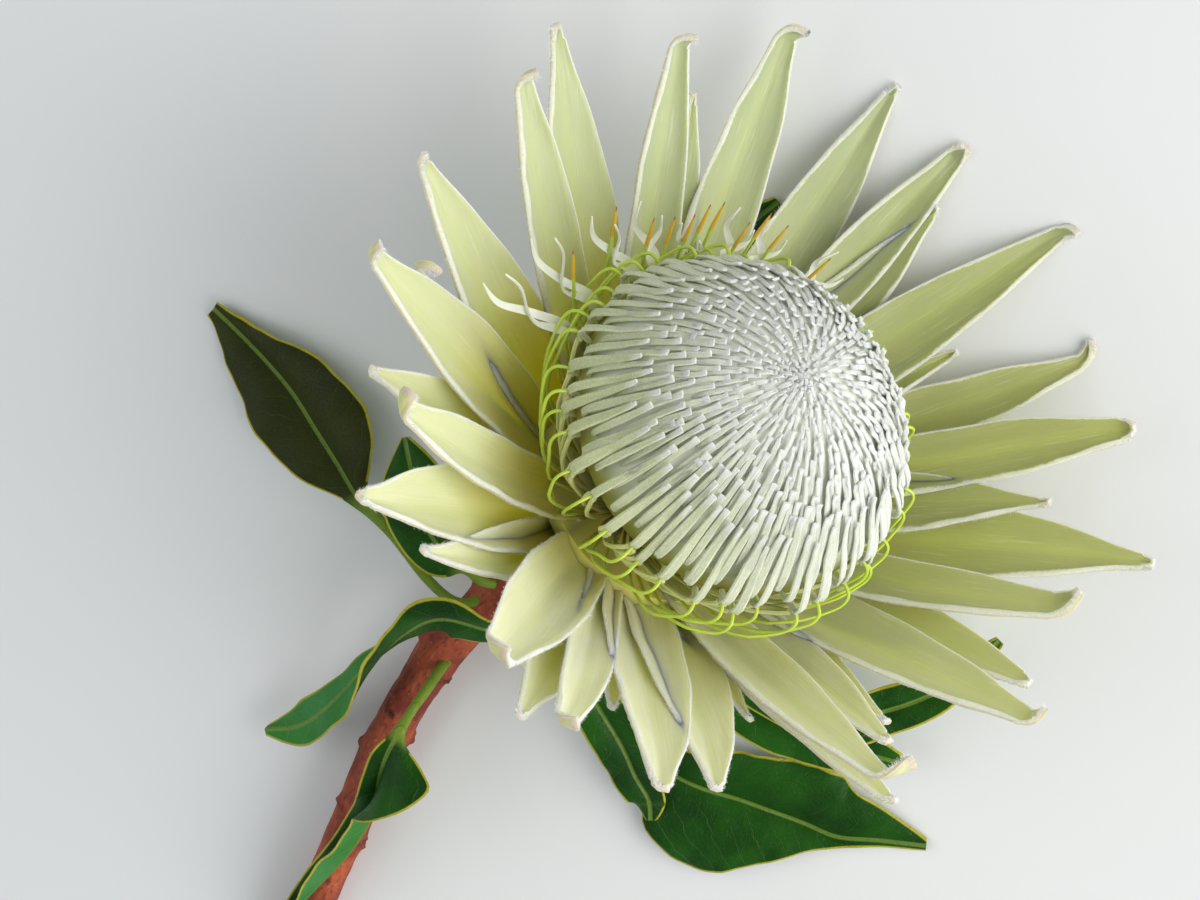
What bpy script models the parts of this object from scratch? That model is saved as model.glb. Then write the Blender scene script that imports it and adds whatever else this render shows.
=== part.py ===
"""King protea cut flower lying on a surface: woody stem, leaves, a bowl of bracts and a dome of florets.

Sizes are in millimetres and become metres when a mesh is made. +Z is up and the surface is z = 0.
The flower axis leans over the +X side, so the lowest bracts and the cut end of the stem carry it.
"""

import math
import random

import bmesh
import bpy
from mathutils import Matrix, Vector

for old in list(bpy.data.objects):
    bpy.data.objects.remove(old, do_unlink=True)

MM = 0.001
GAP = 0.3  # clearance between pieces that touch on the real flower

# Flower axis and base
AXIS_TILT = math.radians(50)  # from straight up, towards +X
AXIS = Vector((math.sin(AXIS_TILT), 0, math.cos(AXIS_TILT)))
DOWNHILL = Vector((math.cos(AXIS_TILT), 0, -math.sin(AXIS_TILT)))  # across the axis, azimuth 0
SIDE = Vector((0, -1, 0))  # across the axis, azimuth 90
RING_CENTRE = Vector((0, 0, 95.2))  # middle of the ring that the bract tips make
RING_HEIGHT = 80.0  # of that ring above the flower base, along the axis
BASE = RING_CENTRE - RING_HEIGHT * AXIS
BEHIND = Vector((-0.342, 0, -0.940))  # the way an outer layer sits back from the inner one

# Whole part moved so that its box is centred over the origin
CENTRE_X = 101.3
CENTRE_Y = 4.4
REST_LEVEL = 1.9  # height, before the move, at which the lowest tips are pressed flat

# Receptacle cup
CUP_OUTER = ((9, -15), (15, -12), (21, -7), (28, 0), (35, 8), (40, 15))
CUP_INNER = ((37, 17), (30, 11), (23, 6), (16, 3), (8, 3))
CUP_SIDES = 22

# Bracts
BRACT_BASE_RADIUS = 15.0
BRACT_THICK = 1.3
BRACT_ROWS = (0.0, 0.2, 0.4, 0.6, 0.8, 1.0)
HOOK_ROWS = 2
POINTED_WIDTH = (0.55, 0.76, 0.95, 1.00, 0.66, 0.18, 0.12, 0.06)
BLUNT_WIDTH = (0.55, 0.74, 0.92, 1.00, 0.90, 0.52, 0.42, 0.24)

# azimuth, tip reach, set back, width, cupping, blunt, bow sideways, hook in, hook side, hook length, layer
BRACTS = (
    (-85.5, 114, 0, 17, 38, 0.7, 4, 70, 50, 7, 0),
    (-76, 125, 4, 22, 26, 0.1, 0, 15, 0, 5, 1),
    (-58, 115, 0, 17, 46, 0.6, 3, 60, 70, 7, 0),
    (-57, 99, 17, 16, 20, 0.0, -3, 0, 0, 4, 2),
    (-40.5, 125, 0, 20, 30, 0.5, 2, 50, 80, 8, 0),
    (-23, 123, 7.2, 20, 26, 0.1, 0, 20, 10, 4, 1),
    (-10, 118, 5, 17, 38, 0.7, 1, 50, 0, 6, 0),
    (-7, 98, 16, 19, 24, 0.1, -4, 10, 0, 4, 2),
    (8, 130, -4.8, 20, 30, 0.2, 0, 40, 60, 6, 0),
    (20, 75, 31, 12, 24, 0.2, 0, 20, 0, 3, 2),
    (26.3, 121, 10, 19, 34, 0.3, -3, 30, -60, 9, 1),
    (37.5, 124, 0, 17.5, 30, 0.8, 0, 30, 20, 5, 0),
    (52, 97, 18, 19, 30, 0.0, 3, 20, 0, 4, 2),
    (56, 132, 6, 24, 26, 0.1, 3, 10, 0, 4, 1),
    (68, 109, 0, 14, 30, 1.2, -6, 40, -30, 11, 0),
    (83, 110, 12, 21, 26, 0.2, 5, 10, 0, 4, 2),
    (87, 117, 2, 20, 34, 0.4, -2, 50, -60, 7, 0),
    (110.5, 100, 20, 18, 26, 0.2, 0, 20, 0, 4, 1),
    (109, 96, 30, 16, 34, 0.0, 2, 20, 0, 4, 2),
    (115, 105, 0, 19, 36, 0.5, -8, 95, -60, 12, 0),
    (114, 115, 8, 19, 34, 0.2, -3, 30, -20, 5, 1),
    (135, 92, 44, 12, 34, 0.0, 0, 20, 0, 4, 2),
    (141, 110, 6, 24, 30, 0.1, 5, 20, 0, 4, 1),
    (149, 114, 0, 24, 30, 0.2, 1, 30, 10, 4, 0),
    (159, 102, 34, 11, 24, 0.2, 0, 10, 0, 3, 2),
    (165, 111, 0, 14, 26, 0.9, 3, 70, -40, 7, 0),
    (170, 118, 6, 20, 34, 0.0, 1, 20, 0, 4, 1),
    (178, 110, 0, 22, 30, 0.9, 0, 60, -40, 7, 0),
    (195, 112, 16, 17, 40, 0.0, 9, 20, 0, 4, 2),
    (204, 122, 0, 26, 38, 0.1, 2, 10, 0, 4, 1),
    (215, 105, 0, 19, 42, 0.6, 8, 100, 30, 8, 0),
    (221, 114, 11, 19, 34, 0.0, -3, 20, 0, 4, 2),
    (237, 117, 0, 24, 40, 0.3, 4, 80, 20, 7, 0),
    (238, 106, 22, 11, 40, 0.2, 1, 150, 0, 11, 2),
    (254, 117, 2, 26, 36, 0.0, 5, 40, 10, 4, 1),
)

# Floret dome
DOME_RADIUS = 51.0
DOME_BASE = 64.0  # height of its widest ring above the flower base
DOME_HEIGHT = 43.0
DOME_POWER = 1.12  # 1 gives an ellipsoid, more than 1 leans towards a cone
BUNDLE_FOOT = 13.0  # radius of the tube bundle where it stands on the cup floor
BUNDLE_TOP = 42.0
TUBES = 26
CUP_FLOOR = 3.0
FLORETS = 120
GOLDEN = math.radians(137.508)
FLORET_SPREAD = 0.62  # under 0.5 would crowd the rim, over it crowds the apex
STRAP_WIDTH = 5.6
STYLES = 34
STYLE_THICK = 0.85
STYLE_LOOP = ((50, 66), (56, 68), (60.5, 63.5), (59.5, 56), (48, 40), (28, 20))

# opened styles: azimuth of the tip, tip radius, tip height
OPEN_STYLES = (
    (-97, 68, 72),
    (-80, 71, 72),
    (-72, 64, 72),
    (-66, 63, 72),
    (-60, 63, 72),
    (-55, 66, 72),
    (-51, 67, 72),
    (-44, 62, 72),
    (-38, 67, 72),
    (-33, 65, 72),
    (-19, 62, 72),
)

# peeled strips: azimuth, radius and height of the tip, azimuth of the foot, sag
PEELED_STRIPS = (
    (-116, 84, 70, -110, 3),
    (-102, 79, 71, -97, 4),
    (-87, 72, 71, -79, 2),
    (-73, 70, 70, -71, 1),
    (-64, 61, 70, -54, 2),
    (-46, 67, 69, -46, 1),
    (-36, 68, 68, -37, 1),
    (-17, 69, 66, -23, 1),
)

# Stem centreline from under the cup to the cut end, with its radius
STEM = (
    (-96, 2, 21, 8.4),
    (-110, 4, 18, 8.2),
    (-126, 5, 17, 8.0),
    (-142, 4, 15, 7.2),
    (-159, 2, 13.5, 7.4),
    (-178, -3, 12.5, 6.8),
    (-198, -10, 11, 6.9),
    (-224, -22, 9.5, 6.6),
    (-255, -36, 7.6, 6.3),
    (-285, -49, 6.2, 6.2),
)
STEM_SIDES = 14

# Leaves, from inside the stem to the tip: x, y, z, half width left and right, rise of each half in degrees
LEAVES = {
    "leaf_a": (
        (-128, 5, 19, 1.7, 1.7, 0, 0),
        (-139, 10, 24, 1.7, 1.7, 0, 0),
        (-144, 22, 21, 1.7, 1.7, 0, 0),
        (-145, 42, 18, 1.8, 1.8, 0, 0),
        (-147, 57, 16, 3.5, 4.0, 8, 4),
        (-146, 70, 14, 12, 16, 10, 2),
        (-145, 84, 12, 17, 19, 10, 2),
        (-144, 98, 10, 18, 16, 10, 4),
        (-145, 112, 8, 14, 10, 8, 8),
        (-147, 125, 6, 9, 5, 4, 10),
        (-149, 136, 5, 3, 3, 0, 0),
    ),
    "leaf_b": (
        (-124, 4, 19, 1.6, 1.6, 0, 0),
        (-127, 11, 27, 1.6, 1.6, 0, 0),
        (-128, 18, 28, 2.5, 2.5, 20, 0),
        (-131, 26, 27, 9, 9, 20, 0),
        (-129, 40, 27, 11, 11, 20, 0),
        (-123, 51, 26, 10, 10, 10, 0),
        (-117, 62, 25, 1.6, 1.6, 0, 0),
    ),
    "leaf_c": (
        (-113, -1, 18, 1.7, 1.7, 0, 0),
        (-120, -9, 30, 1.7, 1.7, 10, -10),
        (-127, -5, 40, 5, 5, -30, 30),
        (-138, 10, 44, 10, 9, -40, 30),
        (-153, 14, 40, 10, 9, -70, 60),
        (-174, 13, 33, 9, 9, -110, 100),
        (-198, 11, 24, 8, 8, -145, 140),
        (-215, 12, 18, 7, 7, -160, 155),
        (-228, 18, 14, 2, 2, -150, 150),
    ),
    "leaf_d": (
        (-157, -1, 15, 1.8, 1.8, 0, 0),
        (-164, -4, 28, 1.8, 1.8, 0, 0),
        (-180, -10, 36, 2.5, 2.5, 0, 0),
        (-188, -13, 36, 18, 5, 10, 10),
        (-197, -18, 34, 17, 6, 55, 10),
        (-207, -25, 30, 11, 8, 110, 0),
        (-226, -31, 25, 12, 8, 115, 0),
        (-248, -34, 19, 10, 7, 110, 0),
        (-266, -36, 14, 6, 4, 105, 0),
        (-280, -36, 11, 2, 2, 100, 0),
    ),
    "leaf_e": (
        (-105, 2, 18, 1.7, 1.7, 0, 0),
        (-107, -12, 26, 1.7, 1.7, 0, 0),
        (-115, -22, 26, 3.0, 3.0, 0, 0),
        (-123, -35, 24, 8, 8, 8, 8),
        (-129, -57, 19, 9, 9, 8, 8),
        (-134, -69, 15, 8, 8, 8, 8),
        (-137, -78, 12, 6, 6, 4, 4),
        (-142, -84, 10, 2, 2, 0, 0),
    ),
    "leaf_f": (
        (-100, 1, 20, 1.8, 1.8, 0, 0),
        (-106, -16, 14, 1.8, 1.8, 0, 0),
        (-118, -40, 11, 2, 2, 0, 0),
        (-129, -64, 8, 4, 6, 4, 0),
        (-127, -76, 7, 10, 20, 8, 2),
        (-122, -86, 7, 14, 27, 10, 3),
        (-115, -96, 6, 18, 26, 10, 5),
        (-109, -105, 6, 20, 20, 10, 8),
        (-103, -115, 5, 22, 12, 8, 12),
        (-97, -125, 5, 20, 4, 6, 16),
        (-87, -134, 4, 12, 2.5, 4, 10),
        (-76, -144, 4, 2, 2, 0, 0),
    ),
    "leaf_g": (
        (-92, 0, 24, 1.7, 1.7, 0, 0),
        (-92, -14, 20, 1.7, 1.7, 0, 0),
        (-93, -34, 19, 3.5, 3.5, 5, 5),
        (-90, -60, 18, 9, 9, 8, 8),
        (-84, -79, 17, 11, 11, 8, 8),
        (-77, -91, 16, 11, 11, 8, 8),
        (-70, -104, 15, 9, 8, 8, 8),
        (-60, -118, 14, 2, 2, 0, 0),
    ),
    "leaf_h": (
        (-83, 1, 27, 1.6, 1.6, 0, 0),
        (-86, -18, 24, 1.6, 1.6, 0, 0),
        (-86, -45, 26, 2, 2, 0, 0),
        (-79, -68, 27, 6, 6, 8, 8),
        (-66, -91, 26, 8, 8, 8, 8),
        (-52, -98, 25, 8, 8, 8, 8),
        (-37, -103, 23, 7, 7, 8, 8),
        (-22, -104, 21, 5, 5, 4, 4),
        (-10, -103, 18, 1.6, 1.6, 0, 0),
    ),
    "leaf_i": (
        (-97, 3.9, 20, 1.6, 1.6, 0, 0),
        (-90, 16, 12, 1.6, 1.6, 0, 0),
        (-70, 26, 5, 4, 4, 0, 0),
        (-45, 35, 3.9, 9, 9, 0, 4),
        (-20, 41, 3.9, 10, 10, 0, 4),
        (3, 44, 3.9, 7, 7, 0, 4),
        (20, 44, 3.9, 2, 2, 0, 0),
    ),
    "leaf_j": (
        (-90, 0, 24, 1.6, 1.6, 0, 0),
        (-78, -5, 11, 1.6, 1.6, 0, 0),
        (-62, -6, 5, 3.5, 3.5, 0, 0),
        (-38, -5, 3.9, 9, 9, 2, 2),
        (-14, -3, 3.9, 10, 10, 2, 2),
        (10, -1, 3.9, 7, 7, 2, 2),
        (26, 0, 3.9, 2, 2, 0, 0),
    ),
}
LEAF_THICK = 0.9


def colour(name, rgb, rough):
    """A plain principled material for one piece."""
    made = bpy.data.materials.new(name)
    made.use_nodes = True
    shader = made.node_tree.nodes["Principled BSDF"]
    shader.inputs["Base Color"].default_value = (*rgb, 1)
    shader.inputs["Roughness"].default_value = rough
    made.diffuse_color = (*rgb, 1)
    return made


def solid(name, points, faces):
    """An object from points in millimetres, with its faces turned outward."""
    mesh = bpy.data.meshes.new(name)
    mesh.from_pydata([tuple(MM * c for c in p) for p in points], [], faces)
    shape = bmesh.new()
    shape.from_mesh(mesh)
    bmesh.ops.recalc_face_normals(shape, faces=shape.faces)
    shape.to_mesh(mesh)
    shape.free()
    made = bpy.data.objects.new(name, mesh)
    bpy.context.scene.collection.objects.link(made)
    return made


def fuse(body, extras, solver="MANIFOLD"):
    """Join a list of closed objects to body and remove them."""
    group = bpy.data.collections.new("extras")
    for item in extras:
        group.objects.link(item)
    join = body.modifiers.new("join", "BOOLEAN")
    join.operation = "UNION"
    join.operand_type = "COLLECTION"
    join.collection = group
    join.solver = solver
    bpy.context.view_layer.objects.active = body
    bpy.ops.object.modifier_apply(modifier="join")
    for item in list(group.objects):
        bpy.data.objects.remove(item, do_unlink=True)
    bpy.data.collections.remove(group)


def cut(body, tool, solver="EXACT"):
    """Take tool away from body and keep the largest piece that is left."""
    less = body.modifiers.new("cut", "BOOLEAN")
    less.operation = "DIFFERENCE"
    less.object = tool
    less.solver = solver
    bpy.context.view_layer.objects.active = body
    bpy.ops.object.modifier_apply(modifier="cut")
    keep_largest(body)


def keep_largest(body):
    """Drop every loose scrap but the piece with the most points."""
    shape = bmesh.new()
    shape.from_mesh(body.data)
    shape.verts.ensure_lookup_table()
    seen = set()
    pieces = []
    for start in shape.verts:
        if start in seen:
            continue
        piece = {start}
        front = [start]
        while front:
            for edge in front.pop().link_edges:
                for corner in edge.verts:
                    if corner not in piece:
                        piece.add(corner)
                        front.append(corner)
        seen |= piece
        pieces.append(piece)
    pieces.sort(key=len, reverse=True)
    for piece in pieces[1:]:
        bmesh.ops.delete(shape, geom=list(piece), context="VERTS")
    shape.to_mesh(body.data)
    shape.free()


def around(azimuth):
    """Unit vector across the flower axis at an azimuth in degrees."""
    angle = math.radians(azimuth)
    return math.cos(angle) * DOWNHILL + math.sin(angle) * SIDE


def on_flower(radius, azimuth, height):
    """World point at a radius, azimuth and height in the flower's own terms."""
    return BASE + radius * around(azimuth) + height * AXIS


def bezier(p0, p1, p2, p3, t):
    s = 1 - t
    return s * s * s * p0 + 3 * s * s * t * p1 + 3 * s * t * t * p2 + t * t * t * p3


def sheet(name, rows_in, rows_out):
    """A closed leaf-like solid between two grids of points, split into triangles alike on both faces."""
    across = len(rows_in[0])
    along = len(rows_in)
    points = [p for row in rows_in for p in row] + [p for row in rows_out for p in row]
    back = across * along
    faces = []
    for i in range(along - 1):
        for j in range(across - 1):
            a = i * across + j
            b = a + 1
            c = a + across + 1
            d = a + across
            first, second = ((a, b, c), (a, c, d)) if (i + j) % 2 else ((a, b, d), (b, c, d))
            for face in (first, second):
                faces.append(face)
                faces.append(tuple(back + corner for corner in reversed(face)))
    rim = [j for j in range(across)]
    rim += [i * across + across - 1 for i in range(1, along)]
    rim += [(along - 1) * across + j for j in range(across - 2, -1, -1)]
    rim += [i * across for i in range(along - 2, 0, -1)]
    for a, b in zip(rim, rim[1:] + rim[:1]):
        faces.append((a, back + a, back + b))
        faces.append((a, back + b, b))
    return solid(name, points, faces)


def tube(name, path, radii, sides, flat=1.0):
    """A closed swept bar along path, with a radius at each point."""
    points = []
    for i, p in enumerate(path):
        ahead = path[min(i + 1, len(path) - 1)] - path[max(i - 1, 0)]
        ahead.normalize()
        wide = ahead.cross(AXIS)
        if wide.length < 0.1:
            wide = ahead.cross(SIDE)
        wide.normalize()
        high = wide.cross(ahead)
        for k in range(sides):
            angle = 2 * math.pi * (k + 0.5) / sides
            points.append(p + radii[i] * (math.cos(angle) * wide + flat * math.sin(angle) * high))
    faces = [tuple(range(sides)), tuple(range(len(points) - sides, len(points)))]
    for i in range(len(path) - 1):
        for k in range(sides):
            a = i * sides + k
            b = i * sides + (k + 1) % sides
            faces.append((a, b, b + sides, a + sides))
    return solid(name, points, faces)


# Receptacle cup, a thick bowl that all the bracts grow from
def cup():
    outline = CUP_OUTER + CUP_INNER
    points = [BASE + CUP_OUTER[0][1] * AXIS]
    for radius, height in outline:
        for k in range(CUP_SIDES):
            points.append(on_flower(radius, 360 * k / CUP_SIDES, height))
    points.append(BASE + CUP_FLOOR * AXIS)
    faces = []
    for k in range(CUP_SIDES):
        n = (k + 1) % CUP_SIDES
        faces.append((0, 1 + k, 1 + n))
        last = 1 + (len(outline) - 1) * CUP_SIDES
        faces.append((len(points) - 1, last + n, last + k))
        for i in range(len(outline) - 1):
            a = 1 + i * CUP_SIDES
            faces.append((a + k, a + n, a + CUP_SIDES + n, a + CUP_SIDES + k))
    return solid("bracts", points, faces)


# One bract: a boat-shaped blade from the cup wall to its tip, with the tip hooked over
def bract(azimuth, reach, back, width, cupping, blunt, bow, hook_in, hook_side, hook_long, layer):
    tip = on_flower(reach, azimuth, RING_HEIGHT) + back * BEHIND
    flower_tip = tip - BASE
    high = flower_tip.dot(AXIS)
    outward = flower_tip - high * AXIS
    far = outward.length
    outward.normalize()
    across = AXIS.cross(outward)
    lower = 3.0 * layer
    p0 = BASE + (BRACT_BASE_RADIUS + 0.6 * layer) * outward - (2 + lower) * AXIS
    p1 = BASE + 0.36 * far * outward + (10 - lower) * AXIS + 0.5 * bow * across
    p2 = BASE + 0.75 * far * outward + (0.73 * high - 0.8 * lower) * AXIS + bow * across
    straight = max(0.0, math.cos(math.radians(hook_in)))
    end = 1 - straight * hook_long / 130
    middle = []
    for row in BRACT_ROWS:
        t = row * end
        here = bezier(p0, p1, p2, tip, t)
        step = bezier(p0, p1, p2, tip, min(t + 0.01, 1)) - bezier(p0, p1, p2, tip, max(t - 0.01, 0))
        middle.append((here, step.normalized()))
    here, heading = middle[-1]
    for part in range(HOOK_ROWS):
        inner = heading.cross(across)
        turn = Matrix.Rotation(math.radians(-hook_in * 0.5), 3, across)
        turn = Matrix.Rotation(math.radians(-hook_side * 0.5), 3, inner) @ turn
        heading = (turn @ heading).normalized()
        here = here + 0.5 * hook_long * heading
        middle.append((here, heading))
    columns = 5 if width > 17 else 3
    body = len(BRACT_ROWS)
    rows_in = []
    rows_out = []
    for i, (here, ahead) in enumerate(middle):
        share = (1 - blunt) * POINTED_WIDTH[i] + blunt * BLUNT_WIDTH[i]
        half = 0.5 * width * share
        bend = math.radians(cupping) * (1.15 if i >= body - 1 else 1.0)
        radius = half / bend
        aside = (across - across.dot(ahead) * ahead).normalized()
        inner = ahead.cross(aside)
        if inner.dot(AXIS) < 0 and i < body:
            inner = -inner
        thick = 0.5 * BRACT_THICK * (1.0 if i < body else 1.3)
        row_in = []
        row_out = []
        for k in range(columns):
            angle = bend * (2 * k / (columns - 1) - 1)
            point = here + radius * math.sin(angle) * aside + radius * (1 - math.cos(angle)) * inner
            normal = math.cos(angle) * inner - math.sin(angle) * aside
            row_in.append(point + thick * normal)
            row_out.append(point - thick * normal)
        rows_in.append(row_in)
        rows_out.append(row_out)
    return sheet("bract", rows_in, rows_out)


bracts = cup()
fuse(bracts, [bract(*values) for values in BRACTS])
keep_largest(bracts)
bracts.data.materials.append(colour("bract_cream", (0.78, 0.80, 0.55), 0.6))


# Tube bundle and dome, the solid inside of the floret head
def head_core():
    columns = TUBES * 2
    rings = []
    for radius, height in ((BUNDLE_FOOT, CUP_FLOOR + GAP), (BUNDLE_TOP, DOME_BASE - 3)):
        rings.append([radius - (1.4 if k % 2 else 0.0) for k in range(columns)] + [height])
    points = []
    for ring in rings:
        for k in range(columns):
            points.append(on_flower(ring[k], 360 * k / columns, ring[-1]))
    faces = [tuple(range(columns)), tuple(range(columns, 2 * columns))]
    for k in range(columns):
        n = (k + 1) % columns
        faces.append((k, n, columns + n, columns + k))
    return solid("floret_head", points, faces)


def dome():
    sides = 22
    points = [on_flower(0, 0, DOME_BASE - 8)]
    rings = ((0.86, -8), (0.97, -4), (1.0, 1))
    for share, height in rings:
        for k in range(sides):
            points.append(on_flower(share * DOME_RADIUS, 360 * k / sides, DOME_BASE + height))
    count = len(rings)
    for lift in (0.30, 0.55, 0.76, 0.90, 0.975):
        radius = DOME_RADIUS * (1 - lift ** (2 / DOME_POWER)) ** (DOME_POWER / 2)
        for k in range(sides):
            points.append(on_flower(radius, 360 * k / sides, DOME_BASE + DOME_HEIGHT * lift))
        count += 1
    points.append(on_flower(0, 0, DOME_BASE + DOME_HEIGHT))
    faces = []
    for k in range(sides):
        n = (k + 1) % sides
        faces.append((0, 1 + n, 1 + k))
        last = 1 + (count - 1) * sides
        faces.append((len(points) - 1, last + k, last + n))
        for i in range(count - 1):
            a = 1 + i * sides
            faces.append((a + k, a + n, a + sides + n, a + sides + k))
    return solid("dome", points, faces)


def dome_table():
    """Distance over the dome from its apex, with radius, height and outward slope at each step."""
    table = []
    length = 0.0
    before = None
    for i in range(201):
        angle = 0.5 * math.pi * i / 200
        rise = max(math.cos(angle), 0.001)
        radius = DOME_RADIUS * math.sin(angle) ** DOME_POWER
        height = DOME_BASE + DOME_HEIGHT * rise ** DOME_POWER
        if before:
            length += math.hypot(radius - before[0], height - before[1])
        before = (radius, height)
        steep = math.sin(angle) * rise ** (DOME_POWER - 1) / DOME_RADIUS
        level = rise * math.sin(max(angle, 0.001)) ** (DOME_POWER - 1) / DOME_HEIGHT
        slope = Vector((steep, level)).normalized()
        table.append((length, radius, height, slope.x, slope.y))
    return table


DOME_TABLE = dome_table()
DOME_LENGTH = DOME_TABLE[-1][0]


def over_dome(distance, azimuth, lift):
    """World point at a distance from the apex along the dome, raised by lift, and the outward normal."""
    row = min(DOME_TABLE, key=lambda entry: abs(entry[0] - distance))
    normal = row[3] * around(azimuth) + row[4] * AXIS
    return on_flower(row[1], azimuth, row[2]) + lift * normal, normal


# One floret strap: a blunt bar at the rim end, its frayed tip raised towards the apex
def strap(index, draw):
    share = (index + 0.5) / FLORETS
    azimuth = math.degrees(index * GOLDEN)
    outer = DOME_LENGTH * share ** FLORET_SPREAD
    inner = outer * (0.42 + 0.26 * outer / DOME_LENGTH)
    width = STRAP_WIDTH * (0.72 + 0.28 * outer / DOME_LENGTH)
    swing = draw.uniform(-2.5, 2.5) * (1 if outer > 30 else 3)
    raised = draw.uniform(2.4, 3.6)
    stations = (
        (outer, 0.0, 1.6, 1.0),
        (0.5 * (outer + inner), 0.5 * swing, 2.0, 1.0),
        (inner, swing, raised, 0.66),
    )
    points = []
    for distance, turn, top, narrow in stations:
        centre, normal = over_dome(distance, azimuth + turn, 0)
        aside = AXIS.cross(around(azimuth + turn))
        half = 0.5 * width * narrow
        points += [
            centre - 1.4 * normal - half * aside,
            centre - 1.4 * normal + half * aside,
            centre + top * normal + 0.55 * half * aside,
            centre + top * normal - 0.55 * half * aside,
        ]
    faces = [(0, 1, 2, 3), (8, 9, 10, 11)]
    for i in range(2):
        for k in range(4):
            a = 4 * i + k
            b = 4 * i + (k + 1) % 4
            faces.append((a, b, b + 4, a + 4))
    return solid("strap", points, faces)


# One looped style: out from the rim, over, and back down beside the tube bundle
def style_loop(index, draw):
    azimuth = 360 * (index + draw.uniform(-0.2, 0.2)) / STYLES
    out = draw.uniform(-1.5, 1.5)
    drop = draw.uniform(-2.0, 2.0)
    path = []
    for i, (radius, height) in enumerate(STYLE_LOOP):
        middle = 1 < i < 4
        path.append(on_flower(radius + (out if middle else 0), azimuth, height + (drop if middle else 0)))
    return tube("style", path, [STYLE_THICK] * len(path), 3)


def open_style(azimuth, radius, height):
    path = [
        on_flower(22, azimuth - 8, 28),
        on_flower(43, azimuth - 6, 50),
        on_flower(0.92 * radius, azimuth - 1, height - 9),
        on_flower(radius, azimuth, height),
    ]
    return tube("open_style", path, [0.9, 0.9, 1.2, 0.5], 4)


def peeled_strip(azimuth, reach, height, foot, sag):
    path = [
        on_flower(22, foot, 28),
        on_flower(42, foot, 48),
        on_flower(54, foot, 60),
        on_flower(0.5 * (54 + reach), 0.5 * (foot + azimuth), 0.5 * (60 + height) - sag),
        on_flower(reach, azimuth, height),
    ]
    return tube("strip", path, [1.5, 1.7, 1.8, 1.7, 0.9], 4, 0.45)


draw = random.Random(7)
floret_head = head_core()
grown = [dome()]
grown += [strap(i, draw) for i in range(FLORETS)]
grown += [style_loop(i, draw) for i in range(STYLES)]
grown += [open_style(*values) for values in OPEN_STYLES]
grown += [peeled_strip(*values) for values in PEELED_STRIPS]
fuse(floret_head, grown)
keep_largest(floret_head)
floret_head.data.materials.append(colour("floret_white", (0.80, 0.82, 0.74), 0.8))


# Stem: a woody shoot from a flat shoulder under the cup to the cut end
def stem_body(name, grow):
    start = BASE + (CUP_OUTER[0][1] - GAP) * AXIS
    path = [start, start - 8 * AXIS] + [Vector(row[:3]) for row in STEM]
    radii = [CUP_OUTER[0][0], 8.6] + [row[3] for row in STEM]
    points = []
    for i, p in enumerate(path):
        ahead = path[min(i + 1, len(path) - 1)] - path[max(i - 1, 0)]
        if i == 0:
            ahead = -AXIS
        if i == len(path) - 1:
            ahead = Vector((-0.9, -0.4, -0.05))
        ahead.normalize()
        wide = ahead.cross(Vector((0, 0, 1))).normalized()
        high = wide.cross(ahead)
        for k in range(STEM_SIDES):
            angle = 2 * math.pi * k / STEM_SIDES
            swell = 1 + (0.05 * math.sin(2 * angle + 1.7 * i) if 1 < i < len(path) - 1 else 0)
            points.append(p + (radii[i] * swell + grow) * (math.cos(angle) * wide + math.sin(angle) * high))
    faces = [tuple(range(STEM_SIDES)), tuple(range(len(points) - STEM_SIDES, len(points)))]
    for i in range(len(path) - 1):
        for k in range(STEM_SIDES):
            a = i * STEM_SIDES + k
            b = i * STEM_SIDES + (k + 1) % STEM_SIDES
            faces.append((a, b, b + STEM_SIDES, a + STEM_SIDES))
    return solid(name, points, faces)


stem = stem_body("stem", 0.0)
stem.data.materials.append(colour("stem_bark", (0.30, 0.09, 0.05), 0.8))


# One leaf: petiole and blade in one sheet, thick at the midrib and thin at the waved edge
def leaf(name, stations):
    marks = [Vector(row[:3]) for row in stations]
    rows = []
    for i in range(len(stations) - 1):
        for part in (0.0, 0.5) if stations[i + 1][3] > 2.5 else (0.0,):
            a = marks[max(i - 1, 0)]
            b = marks[i]
            c = marks[i + 1]
            d = marks[min(i + 2, len(marks) - 1)]
            t = part
            place = 0.5 * (
                2 * b + (c - a) * t + (2 * a - 5 * b + 4 * c - d) * t * t + (3 * b - a - 3 * c + d) * t**3
            )
            values = [(1 - t) * stations[i][k] + t * stations[i + 1][k] for k in (3, 4, 5, 6)]
            rows.append((place, values))
    rows.append((marks[-1], list(stations[-1][3:7])))
    top = []
    under = []
    for i, (place, (left, right, left_rise, right_rise)) in enumerate(rows):
        ahead = (rows[min(i + 1, len(rows) - 1)][0] - rows[max(i - 1, 0)][0]).normalized()
        level = ahead.cross(Vector((0, 0, 1))).normalized()
        blade = min(1.0, max(0.0, (max(left, right) - 2.0) / 4))
        row_top = []
        row_under = []
        for k in (-2, -1, 0, 1, 2):
            half = (left if k < 0 else right) * abs(k) / 2
            rise = (left_rise, 0.5 * (left_rise + right_rise), right_rise)[(k > 0) - (k < 0) + 1]
            outward = Matrix.Rotation(math.radians(rise if k < 0 else -rise), 3, ahead) @ level
            if k < 0:
                outward = -outward
            if k == 0:
                outward = Matrix.Rotation(math.radians(0.5 * (left_rise - right_rise)), 3, ahead) @ level
            up = outward.cross(ahead) if k >= 0 else ahead.cross(outward)
            point = place + half * outward
            if abs(k) == 2:
                point += 1.0 * blade * math.sin(1.9 * i + (1.3 if k > 0 else 0)) * up
            thick = 0.5 * (LEAF_THICK + (1.0 if k == 0 else 0)) * blade
            thick += (1.6, 1.2, 0.5)[abs(k)] * (1 - blade)
            row_top.append(point + thick * up)
            row_under.append(point - thick * up)
        top.append(row_top)
        under.append(row_under)
    return sheet(name, top, under)


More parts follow.
